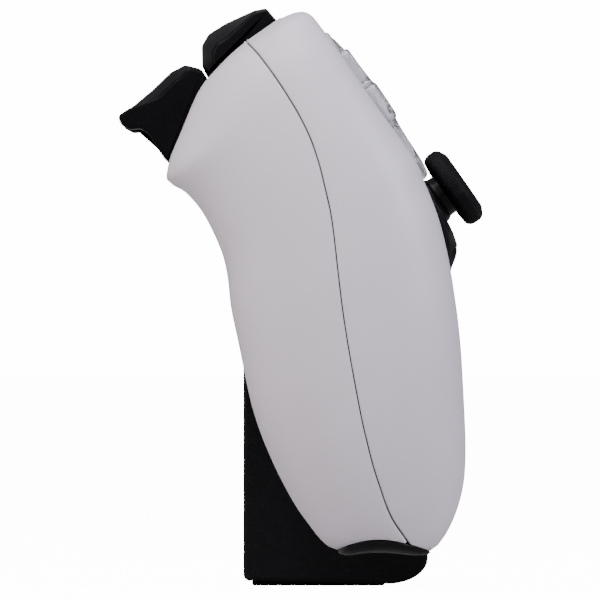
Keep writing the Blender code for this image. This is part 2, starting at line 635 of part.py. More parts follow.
# ---- Inside ----
box("mid_frame", (-66 * U_SCALE, 11.5, FRAME_W), (66 * U_SCALE, 33.0, FRAME_W + FRAME_T), "inner_plastic")
box("main_board", (-36.0, -9.0, BOARD_W), (36.0, 31.5, BOARD_W + BOARD_T), "board_green")
box("battery", (-22.0, 3.0, BOARD_W - GAP - BATTERY_T - 2), (22.0, 31.0, BOARD_W - GAP - 2), "battery_wrap", bevel=1.0)
box("speaker", (-7.0, 11.5, 11.6), (7.0, 20.0, 15.4), "inner_plastic", bevel=0.5)
box("usb_port", (-4.6, TOP_V - WALL - 8.6, -2.0), (4.6, TOP_V - WALL - 0.6, 1.6), "steel", bevel=0.4)
turned("headset_jack", [(3.0, 0), (3.0, 7.0)], (0, CROTCH_V + WALL + GAP + 0.6, -8.0), "inner_plastic", sides=14, axis="v")
for sign, tag in ((-1, "left"), (1, "right")):
    turned(tag + "_haptic_motor", [(8.0, 0), (8.0, 20.0)], (sign * 62.0 * U_SCALE, -30.0, -17.0), "steel", sides=20,
           axis="v")

# ---- Back screws ----
SCREWS = {"back_screw_1": (-56, 2), "back_screw_2": (56, 2), "back_screw_3": (-62, -38), "back_screw_4": (62, -38)}
for name, (su, sv) in SCREWS.items():
    skin = float(back_w(np.array(su * U_SCALE), np.array(float(sv))))
    head = skin + 0.8
    turned(name, [(2.2, 0), (2.2, 1.6), (1.1, 1.9), (1.1, 7.5)], (su * U_SCALE, sv, head), "steel", sides=12)
    hole = extrude_profile("cut_" + name, disc((su * U_SCALE, sv), 2.2 + GAP, 12), skin - 6, skin + 6, "w", None,
                           cutter=True)
    cut(back, hole)

# ---- Stand, in its own upright frame (y to the rear, z up) ----
BACK_Y = STAND_DEPTH / 2
FRONT_Y = -STAND_DEPTH / 2
s, c = math.sin(LEAN), math.cos(LEAN)


def pad_to_stand(v, w):
    """Side-view place (y, z) of a point of the pad frame."""
    return PAD_Y + v * c - w * s, PAD_Z + v * s + w * c


# The notch holds the belly on one face and the lower edge of the body on the other.
REST_W = BELLY_W - GAP - NOTCH_PAD_T       # notch's long face, behind the belly
REST_V = CROTCH_V - GAP - NOTCH_PAD_T - 3.0  # notch's short face, under the crotch
corner = pad_to_stand(REST_V, REST_W)
rear_v = (BACK_Y - PAD_Y + REST_W * s) / c
rear = pad_to_stand(rear_v, REST_W)
front_w_end = (PAD_Y - FRONT_Y + REST_V * c) / s
front = pad_to_stand(REST_V, front_w_end)
arc = [(FRONT_Y + STAND_FRONT_BACK * (1 - math.cos(t)), STAND_FLOOR_GAP + STAND_FRONT_RISE * (1 - math.sin(t)))
       for t in np.linspace(0, math.pi / 2, 7)]
STAND_PROFILE = [rear, corner, front] + arc + [(BACK_Y, STAND_FLOOR_GAP)]
stand_body = extrude_profile("stand_body", STAND_PROFILE, -STAND_HALF_X, STAND_HALF_X, "u", "stand_plastic", STAND)
HOLLOW_TOP = 30.0
hollow = box("cut_hollow", (-STAND_HALF_X + STAND_WALL, FRONT_Y + STAND_WALL + 6, -5),
             (STAND_HALF_X - STAND_WALL, BACK_Y - STAND_WALL, HOLLOW_TOP), None, STAND, cutter=True)
cut(stand_body, hollow)
box("stand_ballast", (-STAND_HALF_X + STAND_WALL + 1, FRONT_Y + STAND_WALL + 7, FOOT_T + GAP + 3.0),
    (STAND_HALF_X - STAND_WALL - 1, BACK_Y - STAND_WALL - 1, HOLLOW_TOP - 4), "steel", STAND)
box("stand_base_plate", (-STAND_HALF_X + STAND_WALL + GAP, FRONT_Y + STAND_WALL + 6 + GAP, FOOT_T + GAP),
    (STAND_HALF_X - STAND_WALL - GAP, BACK_Y - STAND_WALL - GAP, FOOT_T + GAP + 2.0), "stand_plastic", STAND)
foot_x, foot_front, foot_back = STAND_HALF_X - FOOT_INSET, FRONT_Y + STAND_FRONT_BACK + 0.6, BACK_Y - FOOT_INSET
pocket = box("cut_pocket", (-foot_x - GAP, foot_front - GAP, -5), (foot_x + GAP, foot_back + GAP, FOOT_T + GAP), None,
             STAND, cutter=True)
cut(stand_body, pocket)
box("foot_pad", (-foot_x, foot_front, 0.0), (foot_x, foot_back, FOOT_T), "stick_rubber", STAND)
slab = [(REST_V + GAP + 1.4, REST_W + GAP), (rear_v - 1.0, REST_W + GAP), (rear_v - 1.0, REST_W + NOTCH_PAD_T),
        (REST_V + GAP + 1.4, REST_W + NOTCH_PAD_T)]
extrude_profile("stand_saddle_pad", slab, -STAND_HALF_X + 2, STAND_HALF_X - 2, "u", "stick_rubber")
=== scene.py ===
# %% [markdown]
# # A game controller in its desk stand
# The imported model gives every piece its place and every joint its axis. Here the smooth
# shells, the clear buttons and the rubber sticks are drawn over it as fine surfaces.
# Everything on the controller is worked out in its own "pad frame": u runs to the
# player's right, v towards the triggers and w out of the face, all in millimetres.

# %% Load the frame and find the pad frame
import json
import math

import bmesh
import bpy
import numpy as np
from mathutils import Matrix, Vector


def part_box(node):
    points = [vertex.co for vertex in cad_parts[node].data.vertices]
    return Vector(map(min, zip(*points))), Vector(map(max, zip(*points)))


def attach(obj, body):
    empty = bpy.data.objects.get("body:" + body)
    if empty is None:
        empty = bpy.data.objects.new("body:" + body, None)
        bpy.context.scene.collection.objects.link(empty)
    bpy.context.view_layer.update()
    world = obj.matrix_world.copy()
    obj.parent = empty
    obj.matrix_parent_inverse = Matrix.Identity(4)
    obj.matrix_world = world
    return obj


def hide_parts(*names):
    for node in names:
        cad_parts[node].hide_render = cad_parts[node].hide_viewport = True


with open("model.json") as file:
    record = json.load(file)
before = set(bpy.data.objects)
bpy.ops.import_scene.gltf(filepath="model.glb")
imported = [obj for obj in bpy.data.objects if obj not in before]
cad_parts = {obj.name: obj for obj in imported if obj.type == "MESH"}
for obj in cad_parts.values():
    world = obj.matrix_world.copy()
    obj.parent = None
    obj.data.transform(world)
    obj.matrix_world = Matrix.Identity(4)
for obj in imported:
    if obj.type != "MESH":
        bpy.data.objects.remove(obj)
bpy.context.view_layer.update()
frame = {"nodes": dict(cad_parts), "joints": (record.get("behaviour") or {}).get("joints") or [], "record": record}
NODES = frame["nodes"]
JOINTS = {j["name"]: j for j in frame["joints"]}
MM = 0.001
SIDES = ((-1, "left"), (1, "right"))

AXIS_V = np.array(JOINTS["left_stick_roll"]["axis"], float)
AXIS_W = -np.array(JOINTS["button_north_press"]["axis"], float)
AXIS_U = np.cross(AXIS_V, AXIS_W)
LEFT_STICK = np.array(JOINTS["left_stick_pitch"]["pos_m"], float)
RIGHT_STICK = np.array(JOINTS["right_stick_pitch"]["pos_m"], float)
STICK_CENTRE_W = 5.0
PAD_ORIGIN = (LEFT_STICK + RIGHT_STICK) / 2 - AXIS_W * STICK_CENTRE_W * MM
STICK_U = float((RIGHT_STICK - LEFT_STICK) @ AXIS_U) / 2 / MM
print("pad frame at", PAD_ORIGIN.round(4), "stick spacing", round(2 * STICK_U, 2))


def to_world(points):
    """World metres of pad-frame points: origin plus u, v and w along their three axes."""
    return PAD_ORIGIN + MM * (np.asarray(points, float) @ np.stack([AXIS_U, AXIS_V, AXIS_W]))


def pad_box(node):
    """Lowest and highest pad-frame corner of a CAD node, from its vertices."""
    mesh = NODES[node].data
    flat = np.empty(len(mesh.vertices) * 3)
    mesh.vertices.foreach_get("co", flat)
    local = (flat.reshape(-1, 3) - PAD_ORIGIN) / MM @ np.stack([AXIS_U, AXIS_V, AXIS_W]).T
    return local.min(0), local.max(0)


def pad_centre(node):
    """Middle of a CAD node in plan, as (u, v)."""
    low, high = pad_box(node)
    return (low[:2] + high[:2]) / 2


# %% [markdown]
# ## Reading a smooth line through a few points
# A designer fixes a handful of points and lets a spline run through them. The monotone
# cubic is used because it never swings past a point, so a flat stretch stays flat.

# %% Monotone cubic, evaluated on whole arrays
def smooth_read(table, x):
    """Cubic Hermite line through (position, value) rows; each slope is the harmonic mean of
    its two neighbours' slopes, or zero where they differ in sign."""
    rows = np.array(sorted(table), float)
    p, q = rows[:, 0], rows[:, 1]
    step = np.diff(p)
    slope = np.diff(q) / step
    tangent = np.zeros(len(p))
    same = slope[:-1] * slope[1:] > 0
    both = slope[:-1] + slope[1:]
    tangent[1:-1][same] = 2 * slope[:-1][same] * slope[1:][same] / both[same]
    tangent[0], tangent[-1] = slope[0], slope[-1]
    x = np.clip(np.asarray(x, float), p[0], p[-1])
    k = np.clip(np.searchsorted(p, x) - 1, 0, len(step) - 1)
    t = (x - p[k]) / step[k]
    h = step[k]
    return ((2 * t**3 - 3 * t**2 + 1) * q[k] + (t**3 - 2 * t**2 + t) * h * tangent[k]
            + (3 * t**2 - 2 * t**3) * q[k + 1] + (t**3 - t**2) * h * tangent[k + 1])


def smooth_path(points, count):
    """Smooth line through 2-D points, evenly read along the chord length."""
    points = np.asarray(points, float)
    chord = np.concatenate([[0], np.cumsum(np.linalg.norm(np.diff(points, axis=0), axis=1))])
    x = np.linspace(0, chord[-1], count)
    return np.stack([smooth_read(list(zip(chord, points[:, k])), x) for k in (0, 1)], -1)


def blend(x, low, high):
    """Smooth step: 0 below low, 1 above high."""
    t = np.clip((x - low) / (high - low), 0, 1)
    return t * t * (3 - 2 * t)


def quarter(count):
    """Angles from 0 to a quarter turn."""
    return np.linspace(0, np.pi / 2, count)


# %% [markdown]
# ## The form of the shell
# The real shells are moulded around one form: a front and a back surface over the same
# outline, rolling over towards a seam. So the form is two height fields. Inside the
# outline each is a crest line; near the outline a superellipse rolls it down to the seam.

# %% Outline, crest lines and seam of the form
TOP_V = 47.1
BELLY_W = -18.0
SIDE = [(62.0, 47.1), (65.2, 46.0), (67.6, 43.6), (71.2, 38), (74, 30), (76.6, 20), (78.6, 8), (79.8, -5),
        (80, -15), (79.5, -25), (78, -35), (75, -45), (72.4, -50), (69.4, -54), (66.5, -56.1), (65, -56.5)]
INNER = [(0, -13), (10, -13.6), (20, -15), (30, -18.5), (37, -24), (43, -32), (48, -41), (52, -48), (57, -53.5),
         (61, -56), (65, -56.5)]
CREST = [(47.1, 18.9), (41, 19.1), (36, 19.3), (9, 19.3), (4, 18.3), (-2, 16.9), (-9, 14.4), (-18, 10.2),
         (-25.5, 6.2), (-35, 0.4), (-42.5, -4.4), (-49, -9.0), (-56.5, -14.0)]
TRIM_CREST = [(14, 18.3), (8, 18.0), (0, 17.8), (-5, 17.55), (-8, 17.0), (-10.4, 16.2), (-11.8, 14.9), (-13.4, 12.4),
              (-20, 7.5), (-60, -17)]
BACK = [(47.1, 5.5), (46.8, 0), (45.8, -4.5), (45.2, -6.5), (43.2, -10), (40, -15), (36, -21), (33.5, -23),
        (31.5, -22), (28.5, -21.2), (25, -20.9), (21, -21.3), (15.5, -22.4), (11.5, -24), (6, -27), (-1, -30),
        (-7.5, -32.8), (-13, -35), (-20, -37), (-29, -38.6), (-35, -39.1), (-40, -39), (-43.3, -38.5), (-45.5, -37.2),
        (-48, -35.2), (-56.5, -31)]
SEAM = [(47.1, 5.5), (43, 6), (38, 6.1), (31, 5.8), (25, 5), (19.5, 3.5), (13, 1), (10.5, 0), (5.5, -2.5),
        (0, -5.5), (-8.5, -10), (-19, -15), (-30.5, -20), (-39, -23), (-48, -25), (-56.5, -25)]
SEAM_TOP_W = SEAM[0][1]
SEAM_GAP = 0.28
BUMPER_IN_U, BUMPER_OUT_U = 34.4, 60.6
SHOULDER_W = 13.2

round_line = smooth_path(INNER + SIDE[-2::-1], 300)
top_line = np.stack([np.linspace(62, 0, 60), np.full(60, TOP_V)], -1)
OUTLINE = np.concatenate([round_line, top_line[1:]])
INNER_END = int(round_line[:, 1].argmin())
SIDE_END = len(round_line) - 1
inner_line = round_line[:INNER_END + 1]


def per_point(kind):
    """One value for each outline point: seam height, roll-off radius or squareness."""
    u, v = OUTLINE[:, 0], OUTLINE[:, 1]
    number = np.arange(len(OUTLINE))
    inner = number <= INNER_END
    share = np.clip(u / 60.0, 0, 1)
    if kind == "seam":
        side = smooth_read(SEAM, v)
        return np.where(inner, -3.0 * (1 - share) + side * share, side)
    if kind == "radius":
        side = smooth_read([(-57, 10.5), (-48, 12.5), (-35, 15.5), (-10, 15.5), (20, 13.5), (40, 9.0),
                            (47.1, 4.6)], v)
        return np.where(inner, 8.0 + (side[INNER_END] - 8.0 + 2.0 * np.sin(np.pi * share)) * share, side)
    side = smooth_read([(-57, 2.2), (-10, 2.3), (20, 2.5), (40, 2.8), (47.1, 3.4)], v)
    return np.where(inner, 2.3, side)


RIM_SEAM, RIM_RADIUS, RIM_SQUARE = (per_point(k) for k in ("seam", "radius", "square"))


def rim(u, v):
    """Distance to the outline's nearest stretch, that stretch's inward direction in plan, and
    seam height, roll-off radius and squareness read along it."""
    a, b = OUTLINE[:-1], OUTLINE[1:]
    along = b - a
    p = np.stack([np.abs(u), v], -1).reshape(-1, 1, 2)
    t = np.clip(((p - a) * along).sum(-1) / (along**2).sum(-1), 0, 1)
    gap = np.linalg.norm(p - (a + along * t[..., None]), axis=-1)
    best = gap.argmin(-1)
    one = np.arange(len(best))
    t = t[one, best]
    values = [(1 - t) * k[best] + t * k[best + 1] for k in (RIM_SEAM, RIM_RADIUS, RIM_SQUARE)]
    shape = np.shape(u)
    unit = along[best] / np.linalg.norm(along[best], axis=-1, keepdims=True)
    inward = np.stack([-unit[:, 1] * np.where(np.ravel(u) < 0, -1, 1), unit[:, 0]], -1).reshape(shape + (2,))
    return [gap[one, best].reshape(shape), inward] + [k.reshape(shape) for k in values]


def roll(distance, radius, square):
    """Superellipse roll-off: y = (1 - (1 - d/R)^n)^(1/n), 0 on the outline and 1 beyond R."""
    x = 1 - np.clip(distance / radius, 0, 1)
    return (1 - x**square) ** (1 / square)


def front_w(u, v, lift=0.0, trim=False):
    """Front surface: seam + lift at the outline, crest line inside."""
    distance, _, seam, radius, square = rim(u, v)
    crest = smooth_read(TRIM_CREST if trim else CREST, v)
    base = seam + lift
    return base + (crest - base) * roll(distance, radius, square)


def back_w(u, v, lift=0.0):
    """Back surface: the grips' line outside, a flat belly between them, seam - lift at the rim."""
    distance, _, seam, radius, square = rim(u, v)
    grip = smooth_read(BACK, v)
    share = blend(np.abs(u), 22.0, 46.0)
    crest = np.minimum(np.maximum(grip, BELLY_W) * (1 - share) + grip * share, seam - lift)
    base = seam - lift
    return base + (crest - base) * roll(distance, radius, square)


print("outline of", len(OUTLINE), "points, half width", OUTLINE[:, 0].max())


# %% [markdown]
# ## Putting a surface into a mesh
# Every shape below is a grid of points. One helper turns grids into a mesh with
# `from_pydata`, welds the points that meet and turns all faces outwards.

# %% Mesh helpers
WELD = 1e-6


def quads(rows, cols, first=0, wrap=False):
    """Corner numbers of every quad in a grid stored row by row."""
    r, c = np.meshgrid(np.arange(rows - 1), np.arange(cols if wrap else cols - 1), indexing="ij")
    d = (c + 1) % cols
    corners = [r * cols + c, r * cols + d, (r + 1) * cols + d, (r + 1) * cols + c]
    return (first + np.stack(corners, -1)).reshape(-1, 4)


def band(a, b):
    """Quads between two closed rings of point numbers."""
    return np.stack([a, np.roll(a, -1), np.roll(b, -1), b], -1)


def make(name, shape, body, finish, node=None, at=(0, 0), sharp=35, pad=True):
    """A finished piece from (points, faces) in pad-frame or world millimetres, moved to `at`
    in plan. It rides a body, and a CAD node that it replaces is hidden."""
    points, faces = shape
    points = points + np.array([*at, 0])
    world = to_world(points) if pad else np.asarray(points, float) * MM
    mesh = bpy.data.meshes.new(name)
    mesh.from_pydata(world, [], [tuple(int(i) for i in f) for f in faces])
    work = bmesh.new()
    work.from_mesh(mesh)
    bmesh.ops.remove_doubles(work, verts=work.verts, dist=WELD)
    bmesh.ops.dissolve_degenerate(work, edges=work.edges, dist=1e-7)
    bmesh.ops.recalc_face_normals(work, faces=work.faces)
    work.to_mesh(mesh)
    work.free()
    mesh.shade_smooth()
    mesh.set_sharp_from_angle(angle=math.radians(sharp))
    piece = bpy.data.objects.new(name, mesh)
    bpy.context.collection.objects.link(piece)
    mesh.materials.append(finish)
    if body:
        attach(piece, body)
    if node:
        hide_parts(node)
    return piece


def closed_grid(grid, depth_grid):
    """Points and faces of a shell between an outer and an inner grid, its borders stitched."""
    rows, cols = grid.shape[:2]
    count = rows * cols
    border = np.concatenate([np.arange(cols), np.arange(1, rows) * cols + cols - 1,
                             (rows - 1) * cols + np.arange(cols - 2, -1, -1), np.arange(rows - 2, 0, -1) * cols])
    points = np.concatenate([grid.reshape(-1, 3), depth_grid.reshape(-1, 3)])
    faces = [quads(rows, cols), quads(rows, cols, count)[:, ::-1], band(border, border + count)]
    return points, np.concatenate(faces)


def lathe(profile, sides=96, hollow=False):
    """Turned solid: (radius, height) rows carried round the w axis, closed at both ends by a
    disc, or with hollow by joining the last row to the first."""
    profile = np.asarray(profile, float)
    turn = 2 * np.pi * np.arange(sides) / sides
    ring = np.stack([np.cos(turn), np.sin(turn)], -1)
    points = np.empty((len(profile), sides, 3))
    points[..., :2] = profile[:, None, :1] * ring[None]
    points[..., 2] = profile[:, None, 1]
    faces = list(quads(len(profile), sides, wrap=True))
    flat = points.reshape(-1, 3)
    first, last = np.arange(sides), np.arange(sides) + (len(profile) - 1) * sides
    if hollow:
        return flat, faces + list(band(last, first))
    for ring, height in ((first, profile[0, 1]), (last, profile[-1, 1])):
        middle = len(flat)
        flat = np.concatenate([flat, [[0, 0, height]]])
        faces += [(a, b, middle) for a, b in zip(ring, np.roll(ring, -1))]
    return flat, faces


def arc(centre, radius, start, end, count):
    """Points of a round stretch, angles in degrees."""
    t = np.radians(np.linspace(start, end, count))
    return np.stack([centre[0] + radius * np.cos(t), centre[1] + radius * np.sin(t)], -1)


def rounded(corners, radii, count=7):
    """Closed outline whose corners are cut off by arcs tangent to both sides."""
    corners = np.asarray(corners, float)
    radii = np.broadcast_to(radii, len(corners))
    out = []
    for before, here, after, radius in zip(np.roll(corners, 1, 0), corners, np.roll(corners, -1, 0), radii):
        a, b = before - here, after - here
        la, lb = np.linalg.norm(a), np.linalg.norm(b)
        a, b = a / la, b / lb
        half = math.acos(np.clip(a @ b, -1, 1)) / 2
        reach = min(radius / math.tan(half), 0.48 * la, 0.48 * lb)
        radius = reach * math.tan(half)
        centre = here + (a + b) / np.linalg.norm(a + b) * radius / math.sin(half)
        first, last = here + a * reach - centre, here + b * reach - centre
        t0, t1 = math.atan2(first[1], first[0]), math.atan2(last[1], last[0])
        sweep = (t1 - t0 + math.pi) % (2 * math.pi) - math.pi
        t = t0 + sweep * np.linspace(0, 1, count)
        out.append(centre + radius * np.stack([np.cos(t), np.sin(t)], -1))
    return np.concatenate(out)


def stacked(rings):
    """Closed solid through rings of points, each end closed by one flat face."""
    rows, count = len(rings), len(rings[0])
    ends = [range(count), range((rows - 1) * count, rows * count)]
    return np.concatenate(rings), [*quads(rows, count, wrap=True), *ends]


def cut_away(piece, cutters):
    """Take solids out of a piece and leave nothing live on it."""
    for cutter in cutters:
        mod = piece.modifiers.new("cut", "BOOLEAN")
        mod.operation = "DIFFERENCE"
        mod.solver = "EXACT"
        mod.object = cutter
    graph = bpy.context.evaluated_depsgraph_get()
    graph.update()
    result = bpy.data.meshes.new_from_object(piece.evaluated_get(graph))
    piece.modifiers.clear()
    old = piece.data
    piece.data = result
    result.name = old.name
    bpy.data.meshes.remove(old)


def drop(objects):
    """Remove helper objects."""
    for thing in objects:
        bpy.data.objects.remove(thing, do_unlink=True)


def level(outline, height):
    """An outline in u and v as points at one height."""
    return np.column_stack([outline, np.full(len(outline), height)])


def prism(outline, low, high):
    """Straight-sided solid on a closed outline in u and v."""
    outline = np.asarray(outline, float)
    n = len(outline)
    points = np.concatenate([level(outline, low), level(outline, high)])
    k = np.arange(n)
    return points, [*band(k, k + n), k[::-1], k + n]


# %% [markdown]
# ## Finishes
# Moulded plastic is never one flat colour: it has a fine spark-eroded grain, slightly
# glossier and paler edges where hands rub it, and a little dust. Grain and wear are
# shader groups with named sockets, built once and set differently in each material.

# %% Shader groups: grain and edge wear
def group(name, inputs, outputs):
    """An empty shader node group with named sockets."""
    tree = bpy.data.node_groups.new(name, "ShaderNodeTree")
    for label, kind, value in inputs:
        socket = tree.interface.new_socket(label, in_out="INPUT", socket_type=kind)
        socket.default_value = value
    for label, kind in outputs:
        tree.interface.new_socket(label, in_out="OUTPUT", socket_type=kind)
    return tree, tree.nodes.new("NodeGroupInput"), tree.nodes.new("NodeGroupOutput")


def put(tree, value, socket):
    """Join a node's output to a socket, or give the socket a constant."""
    if isinstance(value, bpy.types.NodeSocket):
        tree.links.new(value, socket)
    else:
        socket.default_value = value


def maths(tree, operation, *values):
    """One Math node; numbers or sockets as inputs."""
    node = tree.nodes.new("ShaderNodeMath")
    node.operation = operation
    for socket, value in zip(node.inputs, values):
        put(tree, value, socket)
    return node.outputs[0]


def clamped(tree, value):
    """A value held between 0 and 1."""
    node = tree.nodes.new("ShaderNodeClamp")
    put(tree, value, node.inputs["Value"])
    return node.outputs[0]


def mixed(tree, factor, a, b, kind="MIX"):
    """Colour a turned into colour b by a factor, or multiplied by it."""
    node = tree.nodes.new("ShaderNodeMix")
    node.data_type = "RGBA"
    node.blend_type = kind
    for label, value in (("Factor", factor), ("A", a), ("B", b)):
        put(tree, value, node.inputs[label])
    return node.outputs["Result"]


def noise(tree, vector, scale, detail=2.0):
    """Noise texture on object coordinates, 0 to 1."""
    node = tree.nodes.new("ShaderNodeTexNoise")
    for label, value in (("Vector", vector), ("Scale", scale), ("Detail", detail)):
        put(tree, value, node.inputs[label])
    return node.outputs["Fac"]


def grain_group():
    """Moulded grain: fine noise gives a height, slow noise shifts the tone, a third one is dust."""
    tree, ins, outs = group("moulded_grain", [("Vector", "NodeSocketVector", (0, 0, 0)),
                                              ("Grain per metre", "NodeSocketFloat", 2500.0),
                                              ("Tone", "NodeSocketFloat", 0.04)],
                            [(label, "NodeSocketFloat") for label in ("Height", "Shade", "Dust")])
    where = ins.outputs["Vector"]
    slow = maths(tree, "SUBTRACT", noise(tree, where, 14.0, 3.0), 0.5)
    spots = maths(tree, "MULTIPLY", maths(tree, "SUBTRACT", noise(tree, where, 160.0), 0.62), 4.0)
    put(tree, noise(tree, where, ins.outputs["Grain per metre"], 3.0), outs.inputs["Height"])
    put(tree, maths(tree, "MULTIPLY_ADD", slow, ins.outputs["Tone"], 1.0), outs.inputs["Shade"])
    put(tree, clamped(tree, spots), outs.inputs["Dust"])
    return tree


def wear_group():
    """Edge wear: pointiness above its mean, broken up by noise, 0 on flats and 1 on edges."""
    tree, ins, outs = group("edge_wear", [("Vector", "NodeSocketVector", (0, 0, 0)),
                                          ("Threshold", "NodeSocketFloat", 0.53),
                                          ("Strength", "NodeSocketFloat", 1.0)], [("Mask", "NodeSocketFloat")])
    shape = tree.nodes.new("ShaderNodeNewGeometry")
    over = maths(tree, "SUBTRACT", shape.outputs["Pointiness"], ins.outputs["Threshold"])
    broken = maths(tree, "ADD", noise(tree, ins.outputs["Vector"], 300.0), 0.35)
    rubbed = maths(tree, "MULTIPLY", maths(tree, "MULTIPLY", over, 14.0), broken)
    put(tree, clamped(tree, maths(tree, "MULTIPLY", rubbed, ins.outputs["Strength"])), outs.inputs["Mask"])
    return tree


GRAIN, WEAR = grain_group(), wear_group()


# %% Two kinds of material
DUST_COLOUR = (0.30, 0.29, 0.28, 1)
WORN_SHINE = -0.12
BUMP_METRES = 0.0002


def material(name):
    """A new material, its node tree, its shader and its object coordinates."""
    made = bpy.data.materials.new(name)
    made.use_nodes = True
    tree = made.node_tree
    return made, tree, tree.nodes["Principled BSDF"], tree.nodes.new("ShaderNodeTexCoord").outputs["Object"]


def use_group(tree, shared, coords, **settings):
    """The outputs of a shader group set for one material."""
    node = tree.nodes.new("ShaderNodeGroup")
    node.node_tree = shared
    put(tree, coords, node.inputs["Vector"])
    for label, value in settings.items():
        node.inputs[label.replace("_", " ")].default_value = value
    return node.outputs


def plastic(name, colour, rough, grain=2500.0, bump=0.08, tone=0.05, worn=0.3, worn_colour=None, dust=0.0,
            metal=0.0, specular=0.5):
    """A moulded finish: base colour times a slow tone, grain as bump, rubbed and dusty places."""
    made, tree, shader, coords = material(name)
    moulded = use_group(tree, GRAIN, coords, Grain_per_metre=grain, Tone=tone)
    mask = use_group(tree, WEAR, coords, Strength=worn)["Mask"]
    grey = tree.nodes.new("ShaderNodeCombineColor")
    for channel in ("Red", "Green", "Blue"):
        put(tree, moulded["Shade"], grey.inputs[channel])
    result = mixed(tree, 1.0, (*colour, 1), grey.outputs[0], "MULTIPLY")
    pale = worn_colour or tuple(min(1.0, c * 1.35 + 0.01) for c in colour)
    result = mixed(tree, mask, result, (*pale, 1))
    if dust:
        result = mixed(tree, maths(tree, "MULTIPLY", moulded["Dust"], dust), result, DUST_COLOUR)
    relief = tree.nodes.new("ShaderNodeBump")
    relief.inputs["Strength"].default_value = bump
    relief.inputs["Distance"].default_value = BUMP_METRES
    put(tree, moulded["Height"], relief.inputs["Height"])
    put(tree, result, shader.inputs["Base Color"])
    put(tree, maths(tree, "MULTIPLY_ADD", mask, WORN_SHINE, rough), shader.inputs["Roughness"])
    put(tree, relief.outputs["Normal"], shader.inputs["Normal"])
    shader.inputs["Metallic"].default_value = metal
    shader.inputs["Specular IOR Level"].default_value = specular
    return made


def clear(name, colour, rough):
    """Clear moulded plastic: nearly full transmission, a faint haze in its roughness."""
    made, tree, shader, coords = material(name)
    haze = maths(tree, "MULTIPLY_ADD", noise(tree, coords, 900.0), 0.06, rough)
    put(tree, haze, shader.inputs["Roughness"])
    shader.inputs["Base Color"].default_value = (*colour, 1)
    shader.inputs["Transmission Weight"].default_value = 0.92
    shader.inputs["IOR"].default_value = 1.49
    return made


# %% The plastics, rubbers and metals
WHITE = plastic("white_shell", (0.640, 0.595, 0.672), 0.44, grain=2600, bump=0.10, tone=0.05, worn=0.12)
TOUCH_WHITE = plastic("touchpad_white", (0.665, 0.625, 0.69), 0.42, grain=1800, bump=0.16, tone=0.03, worn=0.1)
BLACK = plastic("satin_black", (0.0030, 0.0027, 0.0036), 0.34, grain=2200, bump=0.12, tone=0.3, worn=0.35,
                worn_colour=(0.015, 0.014, 0.016), dust=0.006, specular=0.12)
TRIGGER_BLACK = plastic("trigger_black", (0.0025, 0.0022, 0.0030), 0.42, grain=1500, bump=0.3, tone=0.3, worn=0.35,
                        worn_colour=(0.012, 0.011, 0.013), dust=0.006, specular=0.08)
STICK_RUBBER = plastic("stick_rubber", (0.0032, 0.0029, 0.0038), 0.6, grain=1800, bump=0.25, tone=0.3, worn=0.35,
                       worn_colour=(0.015, 0.014, 0.016), dust=0.008, specular=0.10)
STAND_BLACK = plastic("stand_black", (0.0040, 0.0036, 0.0045), 0.55, grain=1400, bump=0.25, tone=0.3, worn=0.3,
                      worn_colour=(0.02, 0.019, 0.02), dust=0.01, specular=0.10)
FOOT_RUBBER = plastic("foot_rubber", (0.006, 0.006, 0.006), 0.85, grain=900, bump=0.3, tone=0.2, worn=0.2,
                      specular=0.1)
LIGHT_GUIDE = plastic("light_guide", (0.72, 0.74, 0.80), 0.25, grain=1200, bump=0.03, tone=0.02, worn=0.0)
CORE_GREY = plastic("button_core", (0.55, 0.55, 0.57), 0.4, grain=1500, bump=0.05, tone=0.03, worn=0.0)
INNER = plastic("inner_plastic", (0.05, 0.05, 0.052), 0.6)
MEMBRANE = plastic("membrane_rubber", (0.25, 0.25, 0.25), 0.7)
BOARD = plastic("board_green", (0.02, 0.09, 0.04), 0.4)
STEEL = plastic("machined_steel", (0.55, 0.54, 0.53), 0.32, grain=3000, bump=0.1, tone=0.1, worn=0.2, metal=1.0)
WRAP = plastic("battery_wrap", (0.06, 0.06, 0.07), 0.35)
CLEAR = clear("clear_plastic", (0.93, 0.93, 0.95), 0.10)
CAD_FINISH = {"white_shell": WHITE, "black_plastic": BLACK, "stand_plastic": STAND_BLACK, "clear_plastic": CLEAR,
              "touch_white": TOUCH_WHITE, "light_guide": LIGHT_GUIDE, "stick_rubber": STICK_RUBBER,
              "inner_plastic": INNER, "membrane_rubber": MEMBRANE, "board_green": BOARD, "steel": STEEL,
              "battery_wrap": WRAP}
for part in frame["record"]["subparts"]:
    node = NODES[part["node"]]
    node.data.materials.clear()
    node.data.materials.append(CAD_FINISH[part["material_slot"]])
    node.data.shade_smooth()
    node.data.set_sharp_from_angle(angle=math.radians(35))
print(len(CAD_FINISH), "finishes on", len(NODES), "CAD nodes")

# %% [markdown]
# ## The shells
# A real cover is a 2 mm wall with softly broken edges; the eye reads the join between two
# covers from those edges. Each cover is a grid read from the form, carried round a small
# quarter circle at both side borders, and closed by an inner skin.

# %% Rolled borders and closed covers
EDGE_R = 0.35
WALL = 1.8
SKIRT = 0.7
ROLL_STEPS = 5
COVER_GAP = 0.12
LIFT = SEAM_GAP / 2 + EDGE_R


